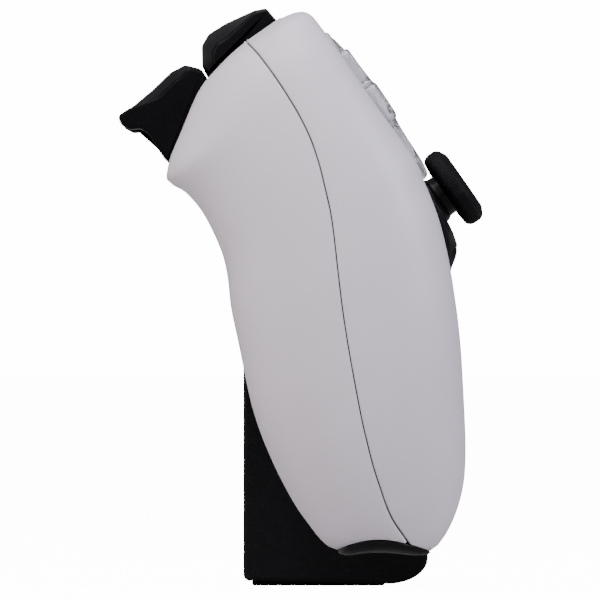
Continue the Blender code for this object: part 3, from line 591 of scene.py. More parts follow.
def roll_side(grid, sign):
    """Columns past the last one: edge + T r sin(a) - N r (1 - cos(a)), then a skirt along -N."""
    normal = np.cross(np.gradient(grid, axis=0), np.gradient(grid, axis=1))
    normal /= np.maximum(np.linalg.norm(normal, axis=-1, keepdims=True), 1e-9)
    n = normal[:, -1] * (np.sign(normal[..., 2].sum()) * sign)
    t = grid[:, -1] - grid[:, -2]
    t = t - (t * n).sum(-1, keepdims=True) * n
    t /= np.maximum(np.linalg.norm(t, axis=-1, keepdims=True), 1e-9)
    new = [grid[:, -1] + t * EDGE_R * math.sin(a) - n * EDGE_R * (1 - math.cos(a))
           for a in np.radians(np.linspace(90 / ROLL_STEPS, 90, ROLL_STEPS))]
    new.append(new[-1] - n * SKIRT)
    return np.concatenate([grid, np.stack(new, 1)], 1)


def cover(grid, sign, thin_ends):
    """Closed cover: the grid with its two side borders rolled, and an inner skin inside it.
    The wall thins over the first and last rows."""
    outer = roll_side(roll_side(grid[:, ::-1], sign)[:, ::-1], sign)
    u, v = grid[..., 0], grid[..., 1]
    distance, inward, _, reach, _ = rim(u, v)
    upright = blend(distance, 0.0, reach * 0.7)
    width = np.hypot(u[:, -1] - u[:, 0], v[:, -1] - v[:, 0])
    row = np.arange(len(grid))
    full = blend(np.minimum(row, row[::-1]), -0.5, thin_ends)
    thick = (np.minimum(WALL, 0.3 * width) * (0.15 + 0.85 * full))[:, None, None]
    plan = inward * (1 - upright)[..., None]
    inner = grid + thick * np.concatenate([plan, -sign * upright[..., None]], -1)
    extra = ROLL_STEPS + 1
    return closed_grid(outer, np.pad(inner, ((0, 0), (extra, extra), (0, 0)), mode="edge"))


# %% White front covers, one each side of the touchpad
WING_EDGE = [(47.1, 32.6), (13, 32.4), (8, 35.0), (2, 38.0), (-6, 40.5), (-14, 43.4), (-23, 47.8), (-33, 52.2),
             (-43, 56.6), (-49, 59.3), (-53, 61.2), (-56.5, 62.6)]


def wing_grid():
    """Rows at constant v from the trim's edge out to the seam; the last column is the seam."""
    top = TOP_V - 5.0 * (1 - np.cos(np.linspace(0.04, np.pi / 2, 16)))
    even = np.linspace(top[-1], -50.0, 76)[1:]
    tail = -56.0 + 6.0 * np.cos(quarter(12))[1:]
    rows = np.concatenate([top, even, tail])
    share = np.sin(quarter(66))
    near = smooth_read(WING_EDGE, rows) + COVER_GAP + EDGE_R
    outer_v = OUTLINE[INNER_END:SIDE_END + 1]
    far = np.interp(rows, outer_v[:, 1], outer_v[:, 0])
    u = near[:, None] + (far - near)[:, None] * share
    v = rows[:, None] + 0 * u
    w = front_w(u, v, LIFT)
    w[:, -1] = rim(u[:, -1], rows)[2] + LIFT
    shoulder = blend(u[0], BUMPER_IN_U - 0.8, BUMPER_IN_U) * (1 - blend(u[0], BUMPER_OUT_U, BUMPER_OUT_U + 0.8))
    floor = SEAM_TOP_W + LIFT + (SHOULDER_W - SEAM_TOP_W) * shoulder
    w[0] = floor
    w[1:12] = np.maximum(w[1:12], floor)
    return np.stack([u, v, w], -1)


def cross_outline(reach, arm, grow=0.0, tip_r=2.2, inner_r=1.2):
    """Outline of a rounded plus sign about its own centre."""
    h, r = arm / 2 + grow, reach + grow
    corners = [(h, r), (h, h), (r, h), (r, -h), (h, -h), (h, -r), (-h, -r), (-h, -h), (-r, -h), (-r, h), (-h, h),
               (-h, r)]
    radii = [tip_r, inner_r, tip_r] * 4
    return rounded(corners, radii)


def circle(centre, radius, count=48):
    """Outline of a circle."""
    return np.asarray(centre) + arc((0, 0), radius, 0, 360, count + 1)[:-1]


def half_width(node):
    """Half of a CAD node's width."""
    low, high = pad_box(node)
    return (high - low)[0] / 2


CLUSTER = pad_centre("dpad")
DPAD_REACH = half_width("dpad")
DPAD_ARM = 9.0
DPAD_TOP = pad_box("dpad")[1][2]
BUTTONS = {k: pad_centre("button_" + k) for k in ("north", "east", "south", "west")}
BUTTON_R = half_width("button_north")
BUTTON_TOP = pad_box("button_north")[1][2]
MENUS = {k: pad_centre(k + "_menu_button") for _, k in SIDES}
MENU_HALF = (1.5, 3.2)
MENU_TURN = {"left": math.radians(-12), "right": math.radians(12)}
UNDER_FACE, OVER_FACE = 8, 26


def pill(centre, half_u, half_v, turn=0.0, grow=0.0):
    """Outline of a stadium, half_u by half_v, turned about its centre."""
    a, b = half_u + grow, half_v + grow
    outline = rounded([(a, b), (-a, b), (-a, -b), (a, -b)], min(a, b) * 0.98)
    s, c = math.sin(turn), math.cos(turn)
    return np.asarray(centre) + outline @ np.array([[c, s], [-s, c]])


def cutter(outline, low, high):
    """A straight solid used only to cut, then removed."""
    return make("cutter", prism(outline, low, high), None, WHITE)


TIP_LINE = [(-60, -43.5), (-45, -44.6), (-37.2, -45.3), (-33, -46.4), (-29, -48.6), (-25.3, -52.2), (-22.4, -56.1),
            (-20.5, -60), (-18, -66)]


def tip_cutter():
    """Everything beyond the grip tips' cut: the arc seen from the side, carried across."""
    side = np.concatenate([smooth_path(TIP_LINE, 60), [(-18, -90), (-60, -90)]])
    n = len(side)
    across = (-95, -66, 0, 66, 95)
    points = np.concatenate([np.column_stack([np.full(n, x), side[:, 1], side[:, 0]]) for x in across])
    k = np.arange(n)
    faces = [f for s in range(len(across) - 1) for f in band(k + s * n, k + (s + 1) * n)]
    return make("tip_cutter", (points, [*faces, k[::-1], k + 4 * n]), None, WHITE)


def seam_tool(sign):
    """A thin slab along the seam's top end. It is taken from the back cover, so that the gap
    runs up to the edge."""
    v = np.linspace(43.5, 49.0, 16)
    w = smooth_read(SEAM, np.minimum(v, TOP_V))
    half = SEAM_GAP / 2 + 0.02
    corners = ((60.0, -half), (74.0, -half), (74.0, half), (60.0, half))
    points, faces = stacked([np.array([(u, a, b + h) for u, h in corners]) for a, b in zip(v, w)])
    return make("seam_tool", (points * (sign, 1, 1), faces), None, WHITE)


tip_tool = tip_cutter()
seam_tools = [seam_tool(sign) for sign, _ in SIDES]
top_tool = cutter([(-95, TOP_V + 0.12), (95, TOP_V + 0.12), (95, 70), (-95, 70)], -60, 30)
points, faces = cover(wing_grid(), 1, thin_ends=3)
openings = {"left": [CLUSTER + cross_outline(DPAD_REACH, DPAD_ARM, 0.45)],
            "right": [circle(spot, BUTTON_R + 0.3) for spot in BUTTONS.values()]}
for sign, side in SIDES:
    wing = make(f"front_cover_{side}_skin", (points * (sign, 1, 1), faces), "controller", WHITE,
                "front_cover_" + side)
    holes = [cutter(outline, UNDER_FACE, OVER_FACE) for outline in
             [*openings[side], pill(MENUS[side], *MENU_HALF, MENU_TURN[side], 0.25)]]
    cut_away(wing, [*holes, tip_tool, top_tool])
    drop(holes)
    print(side, "front cover:", len(wing.data.polygons), "faces")


# %% [markdown]
# ## The back cover
# One moulding wraps the belly and both grips. Its grid runs in ribs from the inner edge
# between the grips out to the seam, so the ribs stay square to both borders all the way
# down to the tips.

# %% Back cover
def back_grid():
    """Ribs from the inner edge (share 0) to the outline (share 1), mirrored about the middle."""
    s = np.linspace(0, 1, 91)
    inner_u = smooth_read([(0, 0), (0.14, 14), (0.28, 26), (0.43, 36), (0.57, 43), (0.71, 48), (0.86, 53),
                           (1, 58)], s)
    inner = np.stack([inner_u, np.interp(inner_u, inner_line[:, 0], inner_line[:, 1])], -1)
    ring = OUTLINE[INNER_END:]
    arc_at = np.concatenate([[0], np.cumsum(np.linalg.norm(np.diff(ring, axis=0), axis=1))])
    total = arc_at[-1]
    reach = total - smooth_read([(0, 0), (0.14, 28), (0.28, 56), (0.43, 74), (0.57, 93), (0.71, 118), (0.86, 142),
                                 (1, total - 8)], s)
    outer = np.stack([np.interp(reach, arc_at, ring[:, k]) for k in (0, 1)], -1)
    share = 0.5 - 0.5 * np.cos(np.linspace(0, np.pi, 84))
    half = inner[:, None] + (outer - inner)[:, None] * share[None, :, None]
    plan = np.concatenate([half[:0:-1] * np.array([-1, 1]), half])
    u, v = plan[..., 0], plan[..., 1]
    w = back_w(u, v, LIFT)
    for column in (0, -1):
        w[:, column] = rim(u[:, column], v[:, column])[2] - LIFT
    return np.stack([u, v, w], -1)


back = make("back_cover_skin", cover(back_grid(), -1, thin_ends=16), "controller", WHITE, "back_cover")


def along_v(shape):
    """A shape drawn in u and w, with its height turned into v."""
    return shape[0][:, [0, 2, 1]], shape[1]


def slot_along_v(outline, low, high):
    """A cutting solid on an outline in u and w, carried along v."""
    return make("cutter", along_v(prism(outline, low, high)), None, WHITE)


SHOULDER_LOW_V = 32.0
tools = [tip_tool, top_tool, *seam_tools]
for sign, _ in SIDES:
    lo, hi = sorted((sign * BUMPER_IN_U, sign * BUMPER_OUT_U))
    opening = rounded([(lo, -32), (hi, -32), (hi, SHOULDER_W + 1), (lo, SHOULDER_W + 1)], 1.0)
    tools.append(slot_along_v(opening, SHOULDER_LOW_V, TOP_V + 12))
tools.append(slot_along_v(pill((0, -0.4), 4.7, 1.8), 38, 60))
tools.append(slot_along_v(circle((0, -8.0), 3.2), -30, -9))
for k in range(1, 5):
    under = pad_box(f"back_screw_{k}")[0][2]
    tools.append(cutter(circle(pad_centre(f"back_screw_{k}"), 2.6), under - 4, under + 1.2))
cut_away(back, tools)
drop(tools[1:])
print("back cover:", len(back.data.polygons), "faces")


# %% [markdown]
# ## Seam
# Where the covers meet, a thin dark tongue closes the gap a little way in, so no light
# comes through from the other side.

# %% Seam tongue
TONGUE_DEPTH = (0.5, 1.3)
TONGUE_HALF = 0.12


def seam_tongue(sign, side):
    """The side outline p moved inwards to p + n d at two depths d, just thinner than the gap."""
    run = OUTLINE[INNER_END:SIDE_END + 1]
    run = run[(run[:, 1] > -44.0) & (run[:, 0] > 55.0)]
    t = np.gradient(run, axis=0)
    n = np.stack([-t[:, 1], t[:, 0]], -1) / np.linalg.norm(t, axis=1, keepdims=True)
    w = rim(run[:, 0], run[:, 1])[2]
    near, far = TONGUE_DEPTH
    rings = np.stack([np.column_stack([run + n * depth, w + h * TONGUE_HALF])
                      for depth, h in ((near, -1), (far, -1), (far, 1), (near, 1))], 1)
    points, faces = stacked(list(rings))
    return make("seam_tongue_" + side, (points * (sign, 1, 1), faces), "controller", INNER)


tongues = [seam_tongue(sign, side) for sign, side in SIDES]
print("seam tongues:", [len(t.data.vertices) for t in tongues], "points")


# %% [markdown]
# ## The black trim
# A satin black moulding fills the face between the sticks and runs down inside both
# grips. It stands a little proud of the white covers and rolls over at the lower edge.

# %% Trim, with its wells for sticks, home and mute buttons
HOME, MUTE = pad_centre("home_button"), pad_centre("mute_button")
HOME_R = 6.0
MUTE_HALF = (4.0, 1.3)
RING_R = half_width("left_stick_ring")


def trim_grid():
    """Rungs from the inner edge up to the touchpad's and the wings' edge, mirrored."""
    s = np.linspace(0, 1, 101)
    low_u = smooth_read([(0, 0), (0.14, 12), (0.28, 24), (0.43, 35), (0.57, 42), (0.71, 47.5), (0.86, 53),
                         (1, 59.8)], s)
    low = np.stack([low_u, np.interp(low_u, inner_line[:, 0], inner_line[:, 1])], -1)
    high_v = smooth_read([(0, 12.3), (0.28, 12.3), (0.31, 11.5), (0.43, 2), (0.57, -13), (0.71, -25), (0.86, -39),
                          (1, -52.6)], s)
    edge = smooth_read(WING_EDGE, high_v) - COVER_GAP - EDGE_R
    high_u = np.where(s < 0.30, s / 0.30 * edge, edge)
    high = np.stack([high_u, high_v], -1)
    share = 1 - np.cos(quarter(58))
    half = low[:, None] + (high - low)[:, None] * share[None, :, None]
    plan = np.concatenate([half[:0:-1] * np.array([-1, 1]), half])
    u, v = plan[..., 0], plan[..., 1]
    reach = blend(np.abs(u), 36.0, 47.0)
    w = front_w(u, v, LIFT, trim=True) * (1 - reach) + front_w(u, v, LIFT) * reach
    w[:, 0] = rim(u[:, 0], v[:, 0])[2] + LIFT
    return np.stack([u, v, w], -1)


trim = make("centre_trim_skin", cover(trim_grid(), 1, thin_ends=16), "controller", BLACK,
            "centre_trim")
tools = [cutter(circle((sign * STICK_U, 0), RING_R - 0.2, 72), 4, OVER_FACE) for sign, _ in SIDES]
outlines = [circle(HOME, HOME_R + 0.3), pill(MUTE, *MUTE_HALF, 0, 0.25)]
outlines += [circle((x, 11.0), 0.42, 16) for x in np.linspace(-6.4, 6.4, 9)]
outlines.append(circle((0, -9.6), 0.5, 16))
tools += [cutter(outline, UNDER_FACE, OVER_FACE) for outline in outlines]
cut_away(trim, tools + [tip_tool])
drop(tools)


# %% Grip caps: black domes that close the tips
SPOKES = 96
TIP_MIDDLE = (64.6, -29.6)
DOME_ROWS = [(0.0, -0.8), (0.8, -0.8), (0.82, -0.1), (0.955, -0.02), (0.975, 0.12), (0.98, 0.3), (0.965, 0.6),
             (0.93, 1.0), (0.86, 1.45), (0.75, 1.9), (0.6, 2.25), (0.45, 2.45), (0.22, 2.6), (0.0, 2.65)]


def grip_cap(sign, side):
    """The section of the form on the cut is found by bisection along the spokes; the dome hangs
    below it, deepest in the middle. Its rows are (share of the section, drop)."""
    line = smooth_path(TIP_LINE, 400)
    side_u, side_v = OUTLINE[INNER_END:SIDE_END + 1].T
    inner_u, inner_v = inner_line[::-1].T
    spokes = np.linspace(0, 2 * np.pi, SPOKES + 1)[:-1]

    def surface(reach):
        w = TIP_MIDDLE[1] + reach * np.cos(spokes)
        u = TIP_MIDDLE[0] + reach * np.sin(spokes)
        return u, np.interp(w, line[:, 0], line[:, 1]), w

    low, high = np.zeros(SPOKES), np.full(SPOKES, 14.0)
    for _ in range(22):
        test = (low + high) / 2
        u, v, w = surface(test)
        inside = ((w < front_w(u, v)) & (w > back_w(u, v)) & (u < np.interp(v, side_v, side_u))
                  & (u > np.interp(v, inner_v, inner_u)) & (v > -56.5))
        low, high = np.where(inside, test, low), np.where(inside, high, test)
    rings = []
    for share, fall in DOME_ROWS:
        u, v, w = surface(low * share)
        rings.append(np.stack([u, v - fall * 0.8, w - fall * 0.58], -1))
    make(side + "_tip_dome", (np.concatenate(rings) * (sign, 1, 1), quads(len(rings), SPOKES, wrap=True)),
         "controller", BLACK, side + "_grip_cap")
    return low


print("tip section radii", *[grip_cap(*each).round(1)[::16] for each in SIDES])
drop([tip_tool])


# %% [markdown]
# ## Bumpers and triggers
# Each is a long moulded bar. Its section is drawn once as a rounded outline and carried
# along u; near the outer end the top slopes down, which leaves the paler sloped band
# above a dark end face.

# %% Bars: sections carried along u
def resample(outline, count):
    """Closed outline read at even steps of its length."""
    closed = np.vstack([outline, outline[:1]])
    far = np.concatenate([[0], np.cumsum(np.linalg.norm(np.diff(closed, axis=0), axis=1))])
    at = np.linspace(0, far[-1], count + 1)[:-1]
    return np.stack([np.interp(at, far, closed[:, k]) for k in (0, 1)], -1)


def inset(outline, distance):
    """Closed outline moved inwards along its own normals."""
    along = np.roll(outline, -1, 0) - np.roll(outline, 1, 0)
    along /= np.maximum(np.linalg.norm(along, axis=1, keepdims=True), 1e-9)
    x, y = outline.T
    turn = np.sign((x * np.roll(y, -1) - y * np.roll(x, -1)).sum())
    return outline + turn * distance * np.stack([-along[:, 1], along[:, 0]], -1)


BUMPER = rounded([(-4.6, 46.4), (-4.5, 48.0), (-2.2, 51.5), (0.2, 52.6), (4.2, 52.4), (10.2, 51.3), (12.5, 50.3),
                  (12.8, 47.3), (12.7, 44.6), (4.0, 41.0), (-1.0, 42.0)],
                 [1.0, 1.8, 2.4, 1.8, 4.5, 3.0, 0.6, 2.0, 1.2, 2.0, 1.5], 9)
TRIGGER = rounded([(-5.0, 44.5), (-4.9, 47.8), (-7.0, 50.3), (-10.2, 50.7), (-15.2, 49.9), (-20.0, 49.5),
                   (-23.7, 49.6), (-24.2, 47.8), (-23.3, 46.0), (-21.4, 45.0), (-20.7, 43.0), (-21.0, 40.0),
                   (-21.0, 36.3), (-9.5, 40.0)],
                  [1.5, 1.6, 1.6, 3.0, 8.0, 6.0, 0.9, 1.1, 1.3, 1.6, 2.5, 2.5, 0.6, 2.0], 9)


def bumper_drop(w, v, k):
    """The bumper's top sinks towards its outer end, most at the rear, and its rear end draws in."""
    top = blend(v, 45.5, 49.0)
    rear = 1 - blend(w, 2.0, 11.6)
    draw = 0.9 * k * (1 - blend(w, -3.8, 2.0)) * blend(v, 42.0, 46.0)
    return w + draw, v - 2.6 * k * top * (0.12 + 0.88 * rear)


def trigger_drop(w, v, k):
    """The trigger's top sinks towards its outer end and fades out at the hooked tip."""
    top = blend(v, 46.2, 48.8) * blend(w, -21.5, -14.0) * (1 - 0.6 * blend(w, -10.0, -6.0))
    return w, v - 1.9 * k * top


def bar(name, outline, drop_by, node, finish, slope, sign):
    """Sections along u: round inner end, straight run, sloping outer end, crisp outer edge.
    Each row of the list is (u, inset, share of the slope)."""
    outline = resample(outline, 220)
    inner, outer = BUMPER_IN_U + 0.6, BUMPER_OUT_U - 0.6
    start = [(inner, 1.5, 0.0)]
    start += [(inner + 1.2 * (1 - math.cos(a)), 1.2 * (1 - math.sin(a)), 0.0) for a in quarter(7)]
    run = [(u, 0.0, float(max(0.0, (u - (outer - slope)) / slope)) ** 1.4)
           for u in np.linspace(inner + 1.6, outer - 0.55, 36)]
    edge = [(outer - 0.5 + 0.5 * math.sin(a), 0.5 * (1 - math.cos(a)), 1.0) for a in quarter(6)]
    rings = []
    for u, shrink, k in start + run + edge + [(outer, 0.75, 1.0)]:
        w, v = drop_by(*outline.T, k)
        w, v = inset(np.stack([w, v], -1), shrink).T
        rings.append(np.stack([np.full(len(w), sign * u), v, w], -1))
    make(name, stacked(rings), node, finish, node, sharp=40)


for sign, side in SIDES:
    bar(side + "_bumper_cap", BUMPER, bumper_drop, side + "_bumper", BLACK, 9.0, sign)
    bar(side + "_trigger_lever", TRIGGER, trigger_drop, side + "_trigger", TRIGGER_BLACK, 8.0, sign)
print("bumpers and triggers with", len(BUMPER), "and", len(TRIGGER), "corner points")

# %% [markdown]
# ## Sticks
# A stick is three turned shapes: the ring pressed into the trim, the stem with a dust
# dome that slides under the ring, and the rubber cap with a knurled rim and a dished top.

# %% Sticks
RING = np.concatenate([[(RING_R - 0.05, 16.5), (RING_R - 0.05, 17.5)], arc((RING_R - 0.5, 17.65), 0.45, 0, 90, 6),
                       arc((9.2, 17.6), 0.5, 90, 180, 7), [(8.75, 17.25), (9.3, 16.9)]])
DOME_R = 13.8
DOME_WALL = 1.0
polar = np.radians(np.linspace(20.5, 34.0, 14))
bulb = np.stack([np.sin(polar), np.cos(polar)], -1)
DOME = np.concatenate([[(0.05, 20.6), (4.2, 20.6), (4.2, 19.6)], arc((5.4, 19.55), 1.2, 180, 235, 5),
                       (0, STICK_CENTRE_W) + DOME_R * bulb, (0, STICK_CENTRE_W) + (DOME_R - DOME_WALL) * bulb[::-1],
                       [(2.6, 16.0), (2.6, 6.0), (0.05, 6.0)]])
CAP = np.concatenate([[(0.05, 20.75), (4.3, 20.75)], arc((5.6, 22.0), 1.25, 250, 262, 3), [(6.4, 20.9)],
                      arc((6.7, 22.35), 1.45, 285, 352, 8), arc((6.55, 23.2), 1.62, 8, 62, 8),
                      [(6.9, 24.85), (6.4, 25.12), (5.9, 25.25), (5.3, 25.22), (4.8, 25.0), (4.2, 24.75), (3.2, 24.5),
                       (1.6, 24.35), (0.05, 24.3)]])


def knurl(points, low, high, depth=0.05, teeth=90):
    """Fine teeth: the radius is moved in and out round the rim between two heights."""
    turn = np.arctan2(points[:, 1], points[:, 0])
    radius = np.linalg.norm(points[:, :2], axis=1)
    rim_part = blend(points[:, 2], low, low + 0.3) * (1 - blend(points[:, 2], high - 0.3, high))
    amount = depth * np.cos(teeth * turn) * rim_part * (radius > 7.2)
    out = points.copy()
    out[:, :2] *= (1 + amount / np.maximum(radius, 1e-6))[:, None]
    return out


for sign, side in SIDES:
    spot = (sign * STICK_U, 0)
    stick = side + "_stick"
    points, faces = lathe(RING, 128, hollow=True)
    points[:, 2] += smooth_read(TRIM_CREST, points[:, 1]) - TRIM_CREST[2][1]
    make(side + "_ring_trim", (points, faces), "controller", BLACK, stick + "_ring", spot)
    make(side + "_stem_dome", lathe(DOME, 96), stick, BLACK, stick + "_stem", spot)
    points, faces = lathe(CAP, 360)
    make(side + "_thumb_cap", (knurl(points, 21.6, 23.9), faces), stick, STICK_RUBBER, stick + "_cap",
         spot, sharp=60)
print("sticks at u = +/-", round(STICK_U, 2))

# %% [markdown]
# ## Clear buttons
# The directional pad and the four face buttons are clear caps over pale cores. The caps
# are domed or dished, so they pick up a bright rim of light at their edges.

# %% Buttons as rounded, dished plugs
def plug(outline, low, high, edge, dish, crown=0.0, taper=0.0):
    """Straight wall, quarter-round edge, then rings shrinking to the middle: w falls by
    dish (1 - s^2), or rises by crown (1 - s^2), where s is the share of the full outline."""
    middle = outline.mean(0)
    rings = [level(inset(outline, 0.4), low), level(inset(outline, 0.15), low), level(outline, low + 0.15)]
    straight = high - edge
    for part in (0.35, 0.7):
        rings.append(level(inset(outline, taper * part), low + (straight - low) * part))
    for a in quarter(7):
        rings.append(level(inset(outline, taper + edge * (1 - math.cos(a))), straight + edge * math.sin(a)))
    last = rings[-1][:, :2]
    for s in (0.93, 0.82, 0.68, 0.52, 0.35, 0.18, 0.05):
        rings.append(level(middle + (last - middle) * s, high + (crown - dish) * (1 - s * s)))
    return stacked(rings)


def core(name, body, spot, radius, low, high):
    """The pale core seen through a clear cap."""
    make(name, plug(circle((0, 0), radius, 40 if radius < 3 else 64), low, high, 0.4, 0.0), body, CORE_GREY,
         at=spot)


cross = resample(cross_outline(DPAD_REACH, DPAD_ARM, 0.0, 2.0, 0.9), 240)
points, faces = plug(cross, 14.3, DPAD_TOP, 0.8, 0.9, taper=0.25)
reach = points[:, 0]**2 + points[:, 1]**2 + 6.0
sink = 0.95 * points[:, 1]**2 / reach - 0.3 * points[:, 1] / np.sqrt(reach)
points[:, 2] -= sink * blend(points[:, 2], 17.0, 20.0)
make("dpad_cap", (points, faces), "dpad", CLEAR, "dpad", CLUSTER, sharp=50)
CORE_REACH = 8.2
for name, turn in (("north", 90), ("east", 0), ("south", 270), ("west", 180)):
    a = math.radians(turn)
    core("dpad_core_" + name, "dpad", CLUSTER + CORE_REACH * np.array([math.cos(a), math.sin(a)]), 2.3, 14.9, 19.1)
for name, spot in BUTTONS.items():
    cap = plug(circle((0, 0), BUTTON_R, 96), 13.4, BUTTON_TOP - 0.45, 1.3, 0.0, crown=0.45, taper=0.1)
    button = "button_" + name
    make("button_cap_" + name, cap, button, CLEAR, button, spot, sharp=50)
    core("button_core_" + name, button, spot, BUTTON_R - 1.5, 14.0, 18.6)

# %% Menu, home and mute buttons
for side, spot in MENUS.items():
    button = side + "_menu_button"
    outline = resample(pill((0, 0), *MENU_HALF, MENU_TURN[side]), 96)
    cap = plug(outline, 15.4, pad_box(button)[1][2], 0.5, 0.0, crown=0.1)
    make(side + "_menu_pill", cap, button, CLEAR, button, spot, sharp=50)
cap = plug(circle((0, 0), HOME_R, 96), 14.1, pad_box("home_button")[1][2] - 0.35, 0.5, 0.25)
make("home_cap", cap, "home_button", BLACK, "home_button", HOME)
cap = plug(resample(pill((0, 0), *MUTE_HALF), 96), 13.6, pad_box("mute_button")[1][2] - 0.7, 0.35, 0.0, crown=0.05)
make("mute_pill", cap, "mute_button", BLACK, "mute_button", MUTE)
print("buttons:", len(BUTTONS), "face,", len(MENUS), "menu, home, mute and the directional pad")

# %% [markdown]
# ## Touchpad and light bar
# The touchpad lies flush between the white covers and rolls over the top edge with them.
# A thin frosted light guide runs round its two sides and its lower edge.

# %% Touchpad and light bar
TOUCH = pad_box("touchpad")
TOUCH_HALF, TOUCH_LOW, TOUCH_TOP = TOUCH[1][0], TOUCH[0][1], TOUCH[1][2]


def centre_front(v):
    """Height of the front surface on the mirror plane."""
    return front_w(np.zeros(len(v)), v)


FLAT_W = centre_front(np.array([38.0]))[0]


def touch_profile():
    """Outer line up the face and over the top edge, then back along the inside, as (v, w)."""
    over = 47.1 - 7.1 * np.cos(quarter(34))[1:-1]
    v = np.concatenate([np.linspace(TOUCH_LOW + 0.7, 40.0, 40), over])
    w = TOUCH_TOP + (centre_front(v) - FLAT_W) * blend(v, 36.0, 40.0)
    edge = arc((TOUCH_LOW + 0.7, TOUCH_TOP - 0.7), 0.7, 180, 100, 6)
    inside = [(47.05, 9.0), (47.05, 6.4), (45.6, 6.4), (45.5, 12.0), (45.0, 15.6), (43.6, 17.3), (40.0, 17.5),
              (20.0, 17.5), (TOUCH_LOW, 17.5)]
    return np.concatenate([edge, np.stack([v, w], -1), inside])


CORNER_R, BREAK_R = 3.0, 0.45
profile = resample(touch_profile(), 200)
rings = []
for a in np.linspace(-np.pi / 2, np.pi / 2, 61):
    straight = TOUCH_HALF - CORNER_R
    if abs(a) > 0.5:
        u = straight * np.sign(a) + CORNER_R * math.sin(a)
    else:
        u = (straight + CORNER_R * math.sin(0.5)) * a / 0.5
    past, last = max(0.0, abs(u) - straight), max(0.0, abs(u) - (TOUCH_HALF - BREAK_R))
    pull = CORNER_R - math.sqrt(max(0.0, CORNER_R**2 - past**2))
    ring = inset(profile, BREAK_R - math.sqrt(max(0.0, BREAK_R**2 - last**2)))
    v = ring[:, 0] + pull * (1 - blend(ring[:, 0], TOUCH_LOW, TOUCH_LOW + 6))
    rings.append(np.stack([np.full(len(ring), u), v, ring[:, 1]], -1))
make("touchpad_plate", stacked(rings), "touchpad", TOUCH_WHITE, "touchpad", sharp=40)

# %% Light guide
GUIDE_HALF, GUIDE_LOW, GUIDE_TOP = 32.25, 12.75, 18.7


def guide_line(half, low, radius):
    """The bottom of a U with two round corners."""
    line = rounded([(-half, 70), (-half, low), (half, low), (half, 70)], [0.1, radius, radius, 0.1], 12)
    return line[12:36]


def light_guide():
    """A strip swept down one side, round two corners and up the other."""
    half_in = TOUCH_HALF + 0.35
    legs = np.linspace(46.3, 17.0, 34)
    rows = [((-GUIDE_HALF, v), (-half_in, v)) for v in legs]
    rows += zip(guide_line(GUIDE_HALF, GUIDE_LOW, 3.6), guide_line(half_in, TOUCH_LOW - 0.35, 3.0))
    rows += [((GUIDE_HALF, v), (half_in, v)) for v in legs[::-1]]
    rings = []
    for o, i in rows:
        o, i = np.array(o, float), np.array(i, float)
        top = GUIDE_TOP
        if o[1] > 36:
            top += min(0.0, centre_front(o[1:])[0] - FLAT_W)
        low = min(16.2, top - 2.0)
        e = (i - o) / np.linalg.norm(i - o) * 0.25
        rings.append(np.array([[*o, low], [*o, top - 0.25], [*(o + e), top], [*(i - e), top], [*i, top - 0.25],
                               [*i, low]]))
    return stacked(rings)


make("light_guide_strip", light_guide(), "controller", LIGHT_GUIDE, "light_bar")
print("touchpad", round(2 * TOUCH_HALF, 1), "mm wide")

# %% [markdown]
# ## Ports and screws
# The charging port is a drawn steel shell round a tongue, the headset jack a lined hole,
# and the screws are small pan heads with a cross recess.

# %% Ports and screws
def port():
    """Drawn steel shell: an outer and an inner stadium joined at the mouth, closed behind."""
    low, high = pad_box("usb_port")
    middle = ((low + high) / 2)[[0, 2]]
    outer = resample(pill((0, 0), (high - low)[0] / 2 - 0.1, (high - low)[2] / 2 - 0.1), 96)
    rings = []
    for shrink, v in ((0.0, low[1] + 0.2), (0.0, high[1] - 0.12), (0.1, high[1]), (0.3, high[1]),
                      (0.38, high[1] - 0.1), (0.38, low[1] + 1.5)):
        rings.append(level(inset(outer, shrink) + middle, v))
    make("port_shell", along_v(stacked(rings)), "controller", STEEL, "usb_port")
    tongue = rounded([(-3.2, -0.3), (3.2, -0.3), (3.2, 0.3), (-3.2, 0.3)], 0.2) + middle
    make("port_tongue", along_v(prism(tongue, low[1] + 1.7, high[1] - 0.6)), "controller", INNER)


def jack():
    """Headset jack: a turned sleeve whose bore is open towards the crotch between the grips."""
    low, high = pad_box("headset_jack")
    middle = ((low + high) / 2)[[0, 2]]
    depth = np.array([(2.9, high[1]), (2.9, low[1] + 0.2), (2.7, low[1]), (2.0, low[1]), (1.8, low[1] + 0.2),
                      (1.75, high[1] - 1.2)])
    points, faces = lathe(depth, 64)
    points[:, :2] += middle
    make("jack_sleeve", along_v((points, faces)), "controller", STEEL, "headset_jack")


def screw(number):
    """Pan head with a cross recess sunk 0.8 mm, on a plain shank."""
    node = f"back_screw_{number}"
    low, high = pad_box(node)
    spot = pad_centre(node)
    head = np.array([(0.05, high[2]), (1.2, high[2]), (1.2, low[2] + 1.5), (2.1, low[2] + 1.5), (2.2, low[2] + 1.3),
                     (2.2, low[2] + 0.5), (2.0, low[2] + 0.15), (1.4, low[2]), (0.05, low[2])])
    piece = make(f"screw_{number}", lathe(head, 48), "controller", STEEL, node, spot)
    recess = cutter(spot + cross_outline(1.3, 0.6, 0, 0.1, 0.1), low[2] - 1, low[2] + 0.8)
    cut_away(piece, [recess])
    drop([recess])


port()
jack()
for number in range(1, 5):
    screw(number)
print("port, jack and four screws")

# %% [markdown]
# ## The stand
# A black moulded block with a notch: one face carries the controller's belly, the other
# its lower edge. The edges are broken by small rounds, which is all that shows of it.

